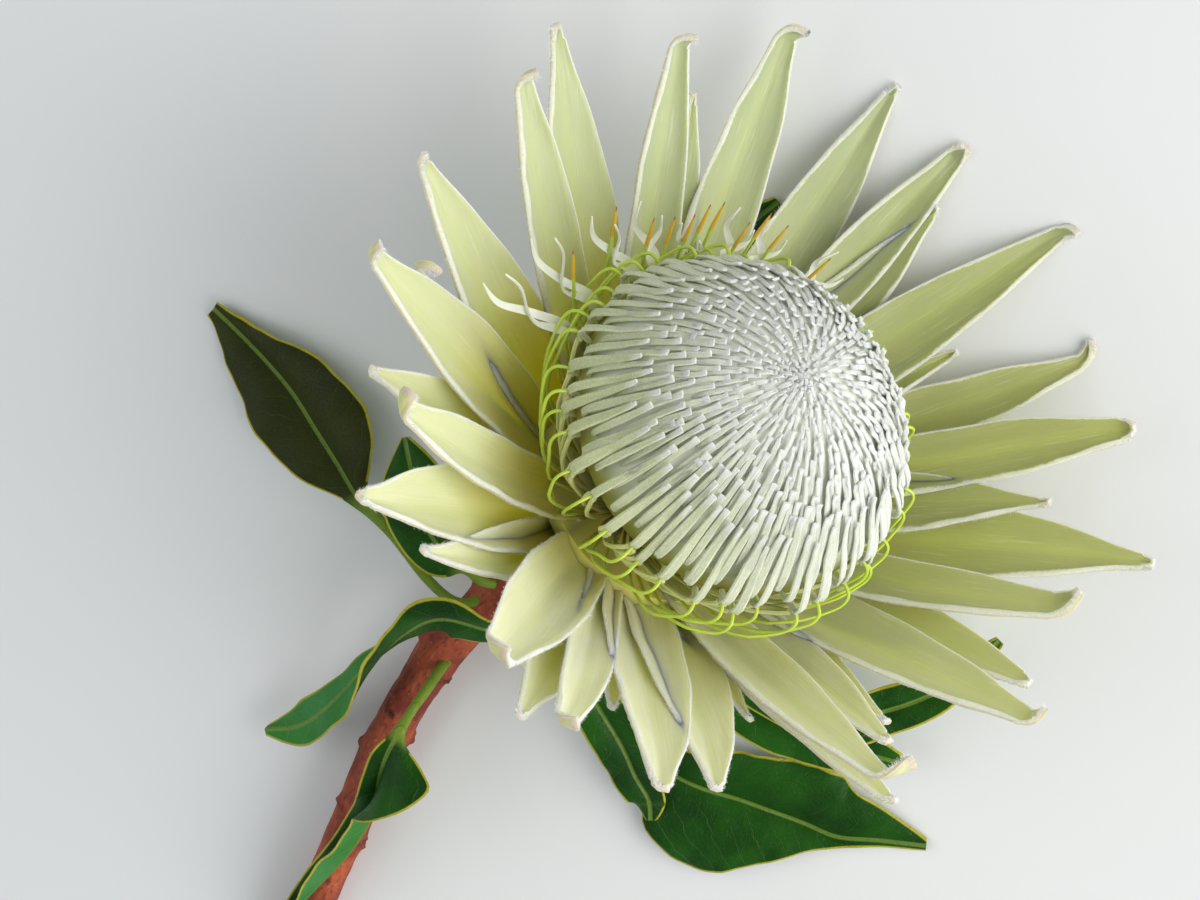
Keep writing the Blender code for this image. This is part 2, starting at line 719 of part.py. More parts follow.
around_stem = stem_body("around_stem", GAP)
for leaf_name, stations in LEAVES.items():
    blade = leaf(leaf_name, stations)
    cut(blade, around_stem)
    blade.data.materials.append(colour(f"{leaf_name}_green", (0.02, 0.09, 0.02), 0.45))
bpy.data.objects.remove(around_stem, do_unlink=True)

# The lowest bract tips and the underside of the cut end pressed flat where they lie on the surface
for piece in (bracts, stem):
    floor = solid(
        "floor",
        [Vector((x, y, z)) for z in (-30, REST_LEVEL) for x, y in ((-400, -300), (400, -300), (400, 300), (-400, 300))],
        [(0, 1, 2, 3), (4, 5, 6, 7), (0, 1, 5, 4), (1, 2, 6, 5), (2, 3, 7, 6), (3, 0, 4, 7)],
    )
    cut(piece, floor)
    bpy.data.objects.remove(floor, do_unlink=True)

# Round pieces shaded smooth, and the whole part centred on the surface
for piece in bpy.context.scene.collection.objects:
    piece.data.transform(Matrix.Translation((CENTRE_X * MM, CENTRE_Y * MM, -REST_LEVEL * MM)))
    for face in piece.data.polygons:
        face.use_smooth = True
    piece.data.set_sharp_from_angle(angle=math.radians(40))
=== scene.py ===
# Cut protea: one woody stem with ten leathery leaves and one flower head in a bowl of woolly bracts
import math
import random

import bpy
import numpy as np
from mathutils import Matrix, Vector, noise


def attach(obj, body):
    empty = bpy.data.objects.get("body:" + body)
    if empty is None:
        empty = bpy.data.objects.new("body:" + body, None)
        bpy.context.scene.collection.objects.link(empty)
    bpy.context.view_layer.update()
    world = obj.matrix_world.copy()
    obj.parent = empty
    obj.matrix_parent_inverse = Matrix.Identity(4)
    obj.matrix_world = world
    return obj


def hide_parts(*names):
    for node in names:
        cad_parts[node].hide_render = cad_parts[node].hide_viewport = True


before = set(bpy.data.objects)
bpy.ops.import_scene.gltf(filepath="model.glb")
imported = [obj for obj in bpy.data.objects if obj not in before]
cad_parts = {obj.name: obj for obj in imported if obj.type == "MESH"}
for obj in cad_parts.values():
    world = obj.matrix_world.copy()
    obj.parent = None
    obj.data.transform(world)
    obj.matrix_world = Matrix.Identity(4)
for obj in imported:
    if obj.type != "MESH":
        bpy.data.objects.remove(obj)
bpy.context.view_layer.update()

# Worktop, lamps and view
# A plain pale top that the flower lies on, one wide soft lamp low on the side that the flower faces, a
# weak one from behind, and the view down onto the open head.
MM = 0.001


def paint(red, green, blue):
    """A colour given as it looks on a screen, 0 to 255, as the light values that a shader needs."""
    shares = (v / 255 for v in (red, green, blue))
    return tuple(v / 12.92 if v < 0.04045 else ((v + 0.055) / 1.055) ** 2.4 for v in shares) + (1,)


def finish_named(name, roughness):
    """A new material with its tree and its shader."""
    made = bpy.data.materials.new(name)
    made.use_nodes = True
    shader = made.node_tree.nodes["Principled BSDF"]
    shader.inputs["Roughness"].default_value = roughness
    return made, made.node_tree, shader


def node(tree, kind, inputs=None, **settings):
    """One node, with its inputs set to values or joined to other nodes' outputs."""
    made = tree.nodes.new("ShaderNode" + kind)
    for name, value in settings.items():
        setattr(made, name, value)
    for key, value in (inputs or {}).items():
        if isinstance(value, bpy.types.NodeSocket):
            tree.links.new(value, made.inputs[key])
        else:
            made.inputs[key].default_value = value
    return made


def blend(tree, amount, first, second):
    """Two colours mixed by an amount."""
    return node(tree, "Mix", {0: amount, 6: first, 7: second}, data_type="RGBA").outputs[2]


def clouds(tree, scale, detail, roughness=0.5):
    """Soft noise, fixed to the piece that wears it."""
    place = node(tree, "TexCoord").outputs["Object"]
    grain = {"Vector": place, "Scale": scale, "Detail": detail, "Roughness": roughness}
    return node(tree, "TexNoise", grain).outputs[0]


bpy.ops.mesh.primitive_plane_add(size=6, location=(0, 0, 0))
worktop = bpy.context.object
worktop.name = "worktop"
matt, tree, shader = finish_named("worktop_paint", 0.75)
shade = blend(tree, clouds(tree, 3, 3), paint(228, 230, 230), paint(236, 237, 236))
tree.links.new(shade, shader.inputs["Base Color"])
worktop.data.materials.append(matt)

HEAD_MIDDLE = Vector((0.10, 0, 0.08))


def lamp(name, direction, distance, size, power, tint):
    """A soft square lamp that looks at the flower head from a direction."""
    spot = HEAD_MIDDLE + distance * Vector(direction).normalized()
    bpy.ops.object.light_add(type="AREA", location=spot)
    made = bpy.context.object
    made.name = name
    made.data.size = size
    made.data.energy = power
    made.data.color = tint
    made.rotation_euler = Vector(direction).to_track_quat("Z", "Y").to_euler()


lamp("wide_lamp", (0.60, -0.62, 0.50), 1.4, 1.5, 25, (1.0, 0.985, 0.96))
lamp("back_lamp", (-0.5, 0.6, 0.7), 1.5, 1.2, 5, (0.95, 0.98, 1.0))
sky = bpy.data.worlds.new("soft_sky")
sky.use_nodes = True
background = sky.node_tree.nodes["Background"]
background.inputs["Color"].default_value = (0.93, 0.96, 1.0, 1)
background.inputs["Strength"].default_value = 0.42
bpy.context.scene.world = sky
bpy.context.scene.view_settings.view_transform = "Standard"

CENTRE_X = 101.3
CENTRE_Y = 4.4
REST_LEVEL = 1.9
EYE = Vector((218.318 + CENTRE_X, 19.681 + CENTRE_Y, 813.872 - REST_LEVEL))
PHOTO_WIDTH = 1200
FOCAL_PIXELS = 2698
bpy.ops.object.camera_add(location=EYE * MM)
view = bpy.context.object
view.name = "view"
right = Vector((0.7263824, -0.634, -0.26438157))
up = Vector((0.59576512, 0.773, -0.21684077))
back = Vector((0.34202014, 0, 0.93969262))
view.rotation_euler = Matrix((right, up, back)).transposed().to_euler()
view.data.sensor_width = 36
view.data.lens = view.data.sensor_width * FOCAL_PIXELS / PHOTO_WIDTH
view.data.clip_end = 10
bpy.context.scene.camera = view

# Stem
# One woody shoot, brick red and rough, from the shoulder under the head to the cut end. It swells at
# the nodes, splits into shallow cracks along its length, and keeps a dark scar where each leaf fell.
AXIS_TILT = math.radians(50)
AXIS = np.array((math.sin(AXIS_TILT), 0, math.cos(AXIS_TILT)))
DOWNHILL = np.array((math.cos(AXIS_TILT), 0, -math.sin(AXIS_TILT)))
SIDE = np.array((0, -1.0, 0))
BASE = np.array((0, 0, 95.2)) - 80 * AXIS
MOVE = np.array((CENTRE_X, CENTRE_Y, -REST_LEVEL))
# along, across and height of the middle, half thickness
STEM = (
    (-96, 2, 21, 8.4),
    (-110, 4, 18, 8.2),
    (-126, 5, 17, 8.0),
    (-142, 4, 15, 7.2),
    (-159, 2, 13.5, 7.4),
    (-178, -3, 12.5, 6.8),
    (-198, -10, 11, 6.9),
    (-224, -22, 9.5, 6.6),
    (-255, -36, 7.6, 6.3),
    (-285, -49, 6.2, 6.2),
)


def drawn_out(name, sides, rows):
    """A closed bar with that many sides, drawn up by one row after another, ready to be bent to shape."""
    bpy.ops.mesh.primitive_circle_add(vertices=sides, radius=1, fill_type="NGON", location=(0, 0, 0))
    bar = bpy.context.object
    bar.name = name
    bpy.ops.object.mode_set(mode="EDIT")
    bpy.ops.mesh.select_all(action="SELECT")
    for _ in range(rows):
        bpy.ops.mesh.extrude_region_move(TRANSFORM_OT_translate={"value": (0, 0, 1)})
    bpy.ops.mesh.select_all(action="SELECT")
    bpy.ops.mesh.normals_make_consistent(inside=False)
    bpy.ops.object.mode_set(mode="OBJECT")
    return bar


def read_bar(bar):
    """The row of each point, and its place across and through the bar, each from -1 to 1."""
    spots = np.empty(len(bar.data.vertices) * 3)
    bar.data.vertices.foreach_get("co", spots)
    spots = spots.reshape(-1, 3)
    return np.rint(spots[:, 2]).astype(int), spots[:, 0], spots[:, 1]


def shape(bar, spots, **marks):
    """Put the points where they belong, in millimetres, and write the named values on them."""
    bar.data.vertices.foreach_set("co", ((spots + MOVE) * MM).ravel())
    for name, values in marks.items():
        written = bar.data.attributes.new(name, "FLOAT", "POINT")
        values = np.ascontiguousarray(np.broadcast_to(values, len(spots)), dtype=np.float32)
        written.data.foreach_set("value", values)
    bar.data.update()


def facing_out(piece):
    """Faces turned outwards and shaded smooth."""
    bpy.ops.object.select_all(action="DESELECT")
    piece.select_set(True)
    bpy.context.view_layer.objects.active = piece
    bpy.ops.object.mode_set(mode="EDIT")
    bpy.ops.mesh.select_all(action="SELECT")
    bpy.ops.mesh.normals_make_consistent(inside=False)
    bpy.ops.object.mode_set(mode="OBJECT")
    bpy.ops.object.shade_smooth_by_angle(angle=math.radians(50))


def smooth_path(marks, count):
    """Points evenly stepped along one smooth line through marks; every column is carried along."""
    marks = np.array(marks, float)
    steps = np.linspace(0, len(marks) - 1, count)
    i = np.minimum(steps.astype(int), len(marks) - 2)
    t = (steps - i)[:, None]
    a, b, c, d = (marks[np.clip(i + k, 0, len(marks) - 1)] for k in (-1, 0, 1, 2))
    return 0.5 * (2 * b + (c - a) * t + (2 * a - 5 * b + 4 * c - d) * t**2 + (3 * b - a - 3 * c + d) * t**3)


def unit(v):
    return v / np.maximum(np.linalg.norm(v, axis=-1, keepdims=True), 1e-9)


def measured(points):
    """How far along the line through them each point lies."""
    return np.concatenate(([0], np.cumsum(np.linalg.norm(np.diff(points, axis=0), axis=1))))


def swept(bar, path, radius, up_from=AXIS):
    """A round bar along a path: its points, outward directions, rows and angles around it."""
    row, x, y = read_bar(bar)
    ahead = unit(np.gradient(path, axis=0))
    wide = unit(np.cross(ahead, up_from))
    high = np.cross(wide, ahead)
    out = x[:, None] * wide[row] + y[:, None] * high[row]
    return path[row] + np.asarray(radius)[row][:, None] * out, out, row, np.arctan2(y, x)


STEM_ROWS = 190
SHOULDER = BASE - 15.3 * AXIS
SCARS = 26
SCAR_STEP = 9.0
LEAF_TURN = 2.4
line = smooth_path([(*SHOULDER, 9), (*(SHOULDER - 8 * AXIS), 8.6), *STEM], STEM_ROWS + 1)
stem = drawn_out("stem_shoot", 44, STEM_ROWS)
spots, out, row, turn = swept(stem, line[:, :3], line[:, 3], up_from=np.array((0, 0, 1.0)))
run = measured(line[:, :3])[row]
draw = random.Random(4)
lift = np.zeros(len(spots))
scar = np.zeros(len(spots))
for i in range(SCARS):
    far = 16 + i * SCAR_STEP + draw.uniform(-3, 3)
    angle = i * LEAF_TURN + draw.uniform(-0.3, 0.3)
    wide = draw.uniform(2.2, 3.6)
    aside = np.abs((turn - angle + math.pi) % (2 * math.pi) - math.pi) * 7 / wide
    near = np.sqrt(aside**2 + ((run - far) / (0.62 * wide)) ** 2)
    lift += 1.1 * np.exp(-(((near - 0.9) / 0.35) ** 2)) - 0.5 * np.exp(-((near / 0.6) ** 2))
    lift += 0.5 * np.exp(-(((run - far) / 5) ** 2)) * np.exp(-((aside / 2.2) ** 2))
    scar += np.exp(-((near / 0.85) ** 4))
for i, (angle, far) in enumerate(zip(turn, run)):
    lift[i] += 0.55 * noise.noise((math.cos(angle) * 3.5, math.sin(angle) * 3.5, far * 0.09))
    lift[i] += 0.30 * noise.noise((math.cos(angle) * 9, math.sin(angle) * 9, far * 0.16 + 7))
ends = np.clip(np.minimum(run / 4, (run.max() - run) / 3), 0, 1)
spots = spots + (lift * ends)[:, None] * out
spots[:, 2] = np.maximum(spots[:, 2], REST_LEVEL)
shape(stem, spots, run=run / 100, turn=turn / math.pi, scar=np.clip(scar, 0, 1))
facing_out(stem)


def maths(tree, how, first, second=0.0):
    return node(tree, "Math", {0: first, 1: second}, operation=how).outputs[0]


def times(tree, first, second):
    return maths(tree, "MULTIPLY", first, second)


def plus(tree, first, second):
    return maths(tree, "ADD", first, second)


def ramp(tree, value, low, high):
    """A value eased from 0 at low to 1 at high, which may be the smaller of the two."""
    ends = {0: value, 1: min(low, high), 2: max(low, high)}
    made = node(tree, "MapRange", ends, interpolation_type="SMOOTHSTEP")
    if low > high:
        made.inputs[3].default_value, made.inputs[4].default_value = 1, 0
    return made.outputs[0]


def over(tree, tone, mask, strength, colour):
    """A tone with a colour, as it looks on a screen, laid over it where the mask is."""
    return blend(tree, times(tree, mask, strength), tone, paint(*colour))


def coat(tree, shader, tone):
    tree.links.new(tone, shader.inputs["Base Color"])


def fibre_group():
    """Fine streaks that run along a piece: noise pulled out along its length."""
    group = bpy.data.node_groups.new("streaks", "ShaderNodeTree")
    for name, value in (("Along", 0), ("Across", 0), ("Fineness", 20), ("Pull", 0.05), ("Shift", 0)):
        group.interface.new_socket(name, in_out="INPUT", socket_type="NodeSocketFloat").default_value = value
    group.interface.new_socket("Streak", in_out="OUTPUT", socket_type="NodeSocketFloat")
    given = group.nodes.new("NodeGroupInput").outputs
    fine = times(group, given["Across"], given["Fineness"])
    pulled = times(group, times(group, given["Along"], given["Fineness"]), given["Pull"])
    spot = node(group, "CombineXYZ", {0: fine, 1: pulled, 2: given["Shift"]}).outputs[0]
    streak = node(group, "TexNoise", {"Vector": spot, "Scale": 1.0, "Detail": 4.0, "Roughness": 0.6})
    group.links.new(streak.outputs[0], group.nodes.new("NodeGroupOutput").inputs[0])
    return group


STREAKS = fibre_group()


def mark(tree, name):
    """A value written on the points of a piece."""
    return node(tree, "Attribute", attribute_name=name).outputs["Fac"]


def streaks(tree, along, across, fineness, pull, shift=0.0):
    given = {"Along": along, "Across": across, "Fineness": fineness, "Pull": pull, "Shift": shift}
    return node(tree, "Group", given, node_tree=STREAKS).outputs[0]


def bump(tree, shader, height, depth_mm, strength=0.6):
    made = node(tree, "Bump", {"Height": height, "Strength": strength, "Distance": depth_mm * MM})
    tree.links.new(made.outputs[0], shader.inputs["Normal"])


bark, tree, shader = finish_named("stem_bark_rough", 0.72)
grain = streaks(tree, mark(tree, "run"), mark(tree, "turn"), 16, 1.6)
blotch = clouds(tree, 60, 4, 0.65)
place = node(tree, "TexCoord").outputs["Object"]
speck = node(tree, "TexVoronoi", {"Vector": place, "Scale": 420.0}).outputs["Distance"]
tone = blend(tree, ramp(tree, blotch, 0.35, 0.68), paint(122, 44, 30), paint(176, 84, 46))
tone = over(tree, tone, ramp(tree, grain, 0.5, 0.7), 0.75, (92, 30, 24))
tone = over(tree, tone, ramp(tree, speck, 0.22, 0.08), 0.5, (196, 128, 84))
tone = over(tree, tone, mark(tree, "scar"), 0.8, (52, 26, 22))
coat(tree, shader, tone)
bump(tree, shader, plus(tree, grain, times(tree, speck, 0.6)), 0.7)
pith, tree, shader = finish_named("stem_cut_wood", 0.8)
grain = clouds(tree, 700, 3)
coat(tree, shader, blend(tree, grain, paint(206, 190, 140), paint(158, 146, 88)))
bump(tree, shader, grain, 0.3)
stem.data.materials.append(bark)
stem.data.materials.append(pith)
for face in stem.data.polygons:
    face.material_index = 1 if len(face.vertices) > 4 else 0
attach(stem, "root")
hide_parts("stem")

# Leaves
# Ten leathery leaves, each one blade with its own green stalk, sprung from the shoot. The blade folds a
# little at the pale midrib, waves at the edge, and is closed by a thin yellow rim that catches the light.
# along, across and height of the midrib, half width left and right, fold left and right, in degrees
LEAVES = {}
LEAVES["leaf_a"] = (
    (-128, 5, 19, 1.7, 1.7, 0, 0),
    (-139, 10, 24, 1.7, 1.7, 0, 0),
    (-144, 22, 21, 1.7, 1.7, 0, 0),
    (-145, 42, 18, 1.8, 1.8, 0, 0),
    (-147, 57, 16, 3.5, 4.0, 8, 4),
    (-146, 70, 14, 12, 16, 10, 2),
    (-145, 84, 12, 17, 19, 10, 2),
    (-144, 98, 10, 18, 16, 10, 4),
    (-145, 112, 8, 14, 10, 8, 8),
    (-147, 125, 6, 9, 5, 4, 10),
    (-149, 136, 5, 3, 3, 0, 0),
)
LEAVES["leaf_b"] = (
    (-124, 4, 19, 1.6, 1.6, 0, 0),
    (-127, 11, 27, 1.6, 1.6, 0, 0),
    (-128, 18, 28, 2.5, 2.5, 20, 0),
    (-131, 26, 27, 9, 9, 20, 0),
    (-129, 40, 27, 11, 11, 20, 0),
    (-123, 51, 26, 10, 10, 10, 0),
    (-117, 62, 25, 1.6, 1.6, 0, 0),
)
LEAVES["leaf_c"] = (
    (-113, -1, 18, 1.7, 1.7, 0, 0),
    (-120, -9, 30, 1.7, 1.7, 10, -10),
    (-127, -5, 40, 5, 5, -30, 30),
    (-138, 10, 44, 10, 9, -40, 30),
    (-153, 14, 40, 10, 9, -70, 60),
    (-174, 13, 33, 9, 9, -110, 100),
    (-198, 11, 24, 8, 8, -145, 140),
    (-215, 12, 18, 7, 7, -160, 155),
    (-228, 18, 14, 2, 2, -150, 150),
)
LEAVES["leaf_d"] = (
    (-157, -1, 15, 1.8, 1.8, 0, 0),
    (-164, -4, 28, 1.8, 1.8, 0, 0),
    (-180, -10, 36, 2.5, 2.5, 0, 0),
    (-188, -13, 36, 18, 5, 10, 10),
    (-197, -18, 34, 17, 6, 55, 10),
    (-207, -25, 30, 11, 8, 110, 0),
    (-226, -31, 25, 12, 8, 115, 0),
    (-248, -34, 19, 10, 7, 110, 0),
    (-266, -36, 14, 6, 4, 105, 0),
    (-280, -36, 11, 2, 2, 100, 0),
)
LEAVES["leaf_e"] = (
    (-105, 2, 18, 1.7, 1.7, 0, 0),
    (-107, -12, 26, 1.7, 1.7, 0, 0),
    (-115, -22, 26, 3.0, 3.0, 0, 0),
    (-123, -35, 24, 8, 8, 8, 8),
    (-129, -57, 19, 9, 9, 8, 8),
    (-134, -69, 15, 8, 8, 8, 8),
    (-137, -78, 12, 6, 6, 4, 4),
    (-142, -84, 10, 2, 2, 0, 0),
)
LEAVES["leaf_f"] = (
    (-100, 1, 20, 1.8, 1.8, 0, 0),
    (-106, -16, 14, 1.8, 1.8, 0, 0),
    (-118, -40, 11, 2, 2, 0, 0),
    (-129, -64, 8, 4, 6, 4, 0),
    (-127, -76, 7, 10, 20, 8, 2),
    (-122, -86, 7, 14, 27, 10, 3),
    (-115, -96, 6, 18, 26, 10, 5),
    (-109, -105, 6, 20, 20, 10, 8),
    (-103, -115, 5, 22, 12, 8, 12),
    (-97, -125, 5, 20, 4, 6, 16),
    (-87, -134, 4, 12, 2.5, 4, 10),
    (-76, -144, 4, 2, 2, 0, 0),
)
LEAVES["leaf_g"] = (
    (-92, 0, 24, 1.7, 1.7, 0, 0),
    (-92, -14, 20, 1.7, 1.7, 0, 0),
    (-93, -34, 19, 3.5, 3.5, 5, 5),
    (-90, -60, 18, 9, 9, 8, 8),
    (-84, -79, 17, 11, 11, 8, 8),
    (-77, -91, 16, 11, 11, 8, 8),
    (-70, -104, 15, 9, 8, 8, 8),
    (-60, -118, 14, 2, 2, 0, 0),
)
LEAVES["leaf_h"] = (
    (-83, 1, 27, 1.6, 1.6, 0, 0),
    (-86, -18, 24, 1.6, 1.6, 0, 0),
    (-86, -45, 26, 2, 2, 0, 0),
    (-79, -68, 27, 6, 6, 8, 8),
    (-66, -91, 26, 8, 8, 8, 8),
    (-52, -98, 25, 8, 8, 8, 8),
    (-37, -103, 23, 7, 7, 8, 8),
    (-22, -104, 21, 5, 5, 4, 4),
    (-10, -103, 18, 1.6, 1.6, 0, 0),
)
LEAVES["leaf_i"] = (
    (-97, 3.9, 20, 1.6, 1.6, 0, 0),
    (-90, 16, 12, 1.6, 1.6, 0, 0),
    (-70, 26, 5, 4, 4, 0, 0),
    (-45, 35, 3.9, 9, 9, 0, 4),
    (-20, 41, 3.9, 10, 10, 0, 4),
    (3, 44, 3.9, 7, 7, 0, 4),
    (20, 44, 3.9, 2, 2, 0, 0),
)
LEAVES["leaf_j"] = (
    (-90, 0, 24, 1.6, 1.6, 0, 0),
    (-78, -5, 11, 1.6, 1.6, 0, 0),
    (-62, -6, 5, 3.5, 3.5, 0, 0),
    (-38, -5, 3.9, 9, 9, 2, 2),
    (-14, -3, 3.9, 10, 10, 2, 2),
    (10, -1, 3.9, 7, 7, 2, 2),
    (26, 0, 3.9, 2, 2, 0, 0),
)
LEAF_ROWS = 66
STALK_HALF = 1.5
leaf_blank = drawn_out("leaf_blank", 36, LEAF_ROWS)


def rib_group():
    """The raised net of a leaf: paired side ribs that slant forward from the midrib, and a fine mesh."""
    group = bpy.data.node_groups.new("leaf_ribs", "ShaderNodeTree")
    for name in ("Run", "Reach"):
        group.interface.new_socket(name, in_out="INPUT", socket_type="NodeSocketFloat")
    for name in ("Rib", "Net"):
        group.interface.new_socket(name, in_out="OUTPUT", socket_type="NodeSocketFloat")
    given = group.nodes.new("NodeGroupInput").outputs
    spot = node(group, "CombineXYZ", {0: given["Run"], 1: given["Reach"]}).outputs[0]
    bent = node(group, "TexNoise", {"Vector": spot, "Scale": 0.9, "Detail": 2.0}).outputs[0]
    out = maths(group, "ABSOLUTE", given["Reach"])
    ahead = maths(group, "SUBTRACT", given["Run"], times(group, out, 0.95))
    phase = times(group, plus(group, ahead, times(group, bent, 0.9)), 3.6)
    wave = maths(group, "ABSOLUTE", maths(group, "SINE", phase))
    net = node(group, "TexVoronoi", {"Vector": spot, "Scale": 7.0}, feature="DISTANCE_TO_EDGE")
    given_out = group.nodes.new("NodeGroupOutput").inputs
    group.links.new(ramp(group, wave, 0.10, 0.0), given_out[0])
    group.links.new(ramp(group, net.outputs["Distance"], 0.07, 0.0), given_out[1])
    return group


RIBS = rib_group()


def leaf_finish(name, dark, light, beneath, gloss):
    """Glossy green above, paler and duller below, with ribs, blotches, a yellow rim and a lime stalk."""
    made, tree, shader = finish_named(name, gloss)
    dark, light, beneath = paint(*dark), paint(*light), paint(*beneath)
    ribs = node(tree, "Group", {0: mark(tree, "run"), 1: mark(tree, "reach")}, node_tree=RIBS)
    blotch = clouds(tree, 45, 3)
    above = mark(tree, "above")
    tone = blend(tree, ramp(tree, blotch, 0.3, 0.72), dark, light)
    tone = over(tree, tone, ribs.outputs[0], 0.30, (88, 124, 52))
    tone = over(tree, tone, ribs.outputs[1], 0.10, (70, 104, 50))
    lower = blend(tree, ramp(tree, blotch, 0.3, 0.7), beneath, paint(72, 140, 78))
    lower = over(tree, lower, ribs.outputs[0], 0.45, (142, 176, 98))
    tone = blend(tree, above, lower, tone)
    midrib = ramp(tree, maths(tree, "ABSOLUTE", mark(tree, "reach")), 0.10, 0.045)
    tone = over(tree, tone, midrib, 0.75, (120, 146, 66))
    tone = blend(tree, ramp(tree, mark(tree, "rim"), 0.95, 0.45), tone, paint(176, 170, 52))
    lime = blend(tree, blotch, paint(132, 158, 48), paint(100, 128, 44))
    tone = blend(tree, mark(tree, "stalk"), tone, lime)
    coat(tree, shader, tone)
    dull = blend(tree, above, (0.62, 0.62, 0.62, 1), (gloss, gloss, gloss, 1))
    tree.links.new(plus(tree, dull, times(tree, blotch, 0.14)), shader.inputs["Roughness"])
    raised = plus(tree, times(tree, ribs.outputs[0], -1.0), times(tree, ribs.outputs[1], -0.4))
    bump(tree, shader, plus(tree, raised, times(tree, blotch, 1.5)), 0.35, 0.7)
    shader.inputs["Specular IOR Level"].default_value = 0.18
    return made


def copied(blank, name):
    """A copy of a blank, with its own mesh."""
    made = blank.copy()
    made.data = blank.data.copy()
    made.name = name
    bpy.context.scene.collection.objects.link(made)
    return made


def turned(vectors, axes, degrees):
    """Each vector turned about its own axis."""
    angle = np.radians(degrees)[:, None]
    along = (vectors * axes).sum(axis=1, keepdims=True) * axes
    return along + np.cos(angle) * (vectors - along) + np.sin(angle) * np.cross(axes, vectors)


for leaf_name, stations in LEAVES.items():
    leaf = copied(leaf_blank, leaf_name + "_blade")
    row, side, through = read_bar(leaf)
    line = smooth_path(stations, LEAF_ROWS + 1)
    centre = line[:, :3]
    ahead = unit(np.gradient(centre, axis=0))
    level = unit(np.cross(ahead, np.array((0, 0, 1.0))))
    lefts = -turned(level, ahead, line[:, 5])
    rights = turned(level, ahead, -line[:, 6])
    half = np.where(side < 0, np.maximum(line[row, 3], 1.2), np.maximum(line[row, 4], 1.2))
    outward = np.where((side < 0)[:, None], lefts[row], rights[row])
    high = np.where((side < 0)[:, None], np.cross(ahead[row], outward), np.cross(outward, ahead[row]))
    wide = np.maximum(line[:, 3], line[:, 4])
    blade = np.clip((wide - 2) / 4, 0, 1)
    first = int(np.argmax(wide > 2.6))
    blade[:first] = 0
    blade[-8:] = 1
    steps = np.cumsum([0] + [2 if row_after[3] > 2.5 else 1 for row_after in stations[1:]])
    count = np.interp(np.linspace(0, len(stations) - 1, LEAF_ROWS + 1), range(len(stations)), steps)
    wave = np.sin(1.9 * count[row] + np.where(side > 0, 1.3, 0))
    wave += 0.35 * np.sin(4.7 * count[row] + 3 * side)
    blade = blade[row]
    fullness = np.clip(np.abs(through) / 0.35, 0, 1)
    rib = np.exp(-((side * half / 1.1) ** 2))
    thick = blade * (0.42 + np.where(through > 0, -0.25, 0.75) * rib)
    thick += (1 - blade) * STALK_HALF * np.sqrt(1 - side**2)
    spots = centre[row] + (half * np.abs(side))[:, None] * outward
    arch = 0.10 * half * np.sin(math.pi * np.abs(side)) * blade
    spots = spots + ((wave * np.abs(side) ** 3 + arch) * blade)[:, None] * high
    spots = spots + (thick * np.sign(through) * fullness)[:, None] * high
    spots[:, 2] = np.maximum(spots[:, 2], REST_LEVEL + 0.2)
    run = measured(centre)[row]
    rim = (1 - np.abs(side)) * half + (1 - blade) * 5
    above = (through > -0.01) * 1.0
    shape(leaf, spots, run=run / 10, reach=side * half / 10, rim=rim, above=above, stalk=1 - blade)
    facing_out(leaf)
    if leaf_name == "leaf_a":
        skin = leaf_finish("leaf_a_olive", (36, 44, 2), (50, 55, 4), (70, 110, 40), 0.38)
    else:
        skin = leaf_finish(leaf_name + "_leather", (10, 55, 1), (30, 90, 6), (50, 124, 44), 0.32)
    leaf.data.materials.append(skin)
    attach(leaf, "root")
    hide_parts(leaf_name)
bpy.data.objects.remove(leaf_blank)

# Bracts
# The receptacle cup and the boat-shaped bracts that grow from it in three layers. Each is fleshy and
# smooth, olive in the bowl and pale mint or cream above, rolled in at the rims and hooked at the tip,
# with a felt of white wool along the rims and over the tip.
CUP_OUTER = ((9, -15), (15, -12), (21, -7), (28, 0), (35, 8), (40, 15))
CUP_INNER = ((37, 17), (30, 11), (23, 6), (16, 3), (8, 3))
RING_HEIGHT = 80.0
BEHIND = np.array((-0.342, 0, -0.940))
BRACT_THICK = 1.3
POINTED_WIDTH = (0.55, 0.76, 0.95, 1.00, 0.66, 0.18, 0.12, 0.06)
BLUNT_WIDTH = (0.55, 0.74, 0.92, 1.00, 0.90, 0.52, 0.42, 0.24)

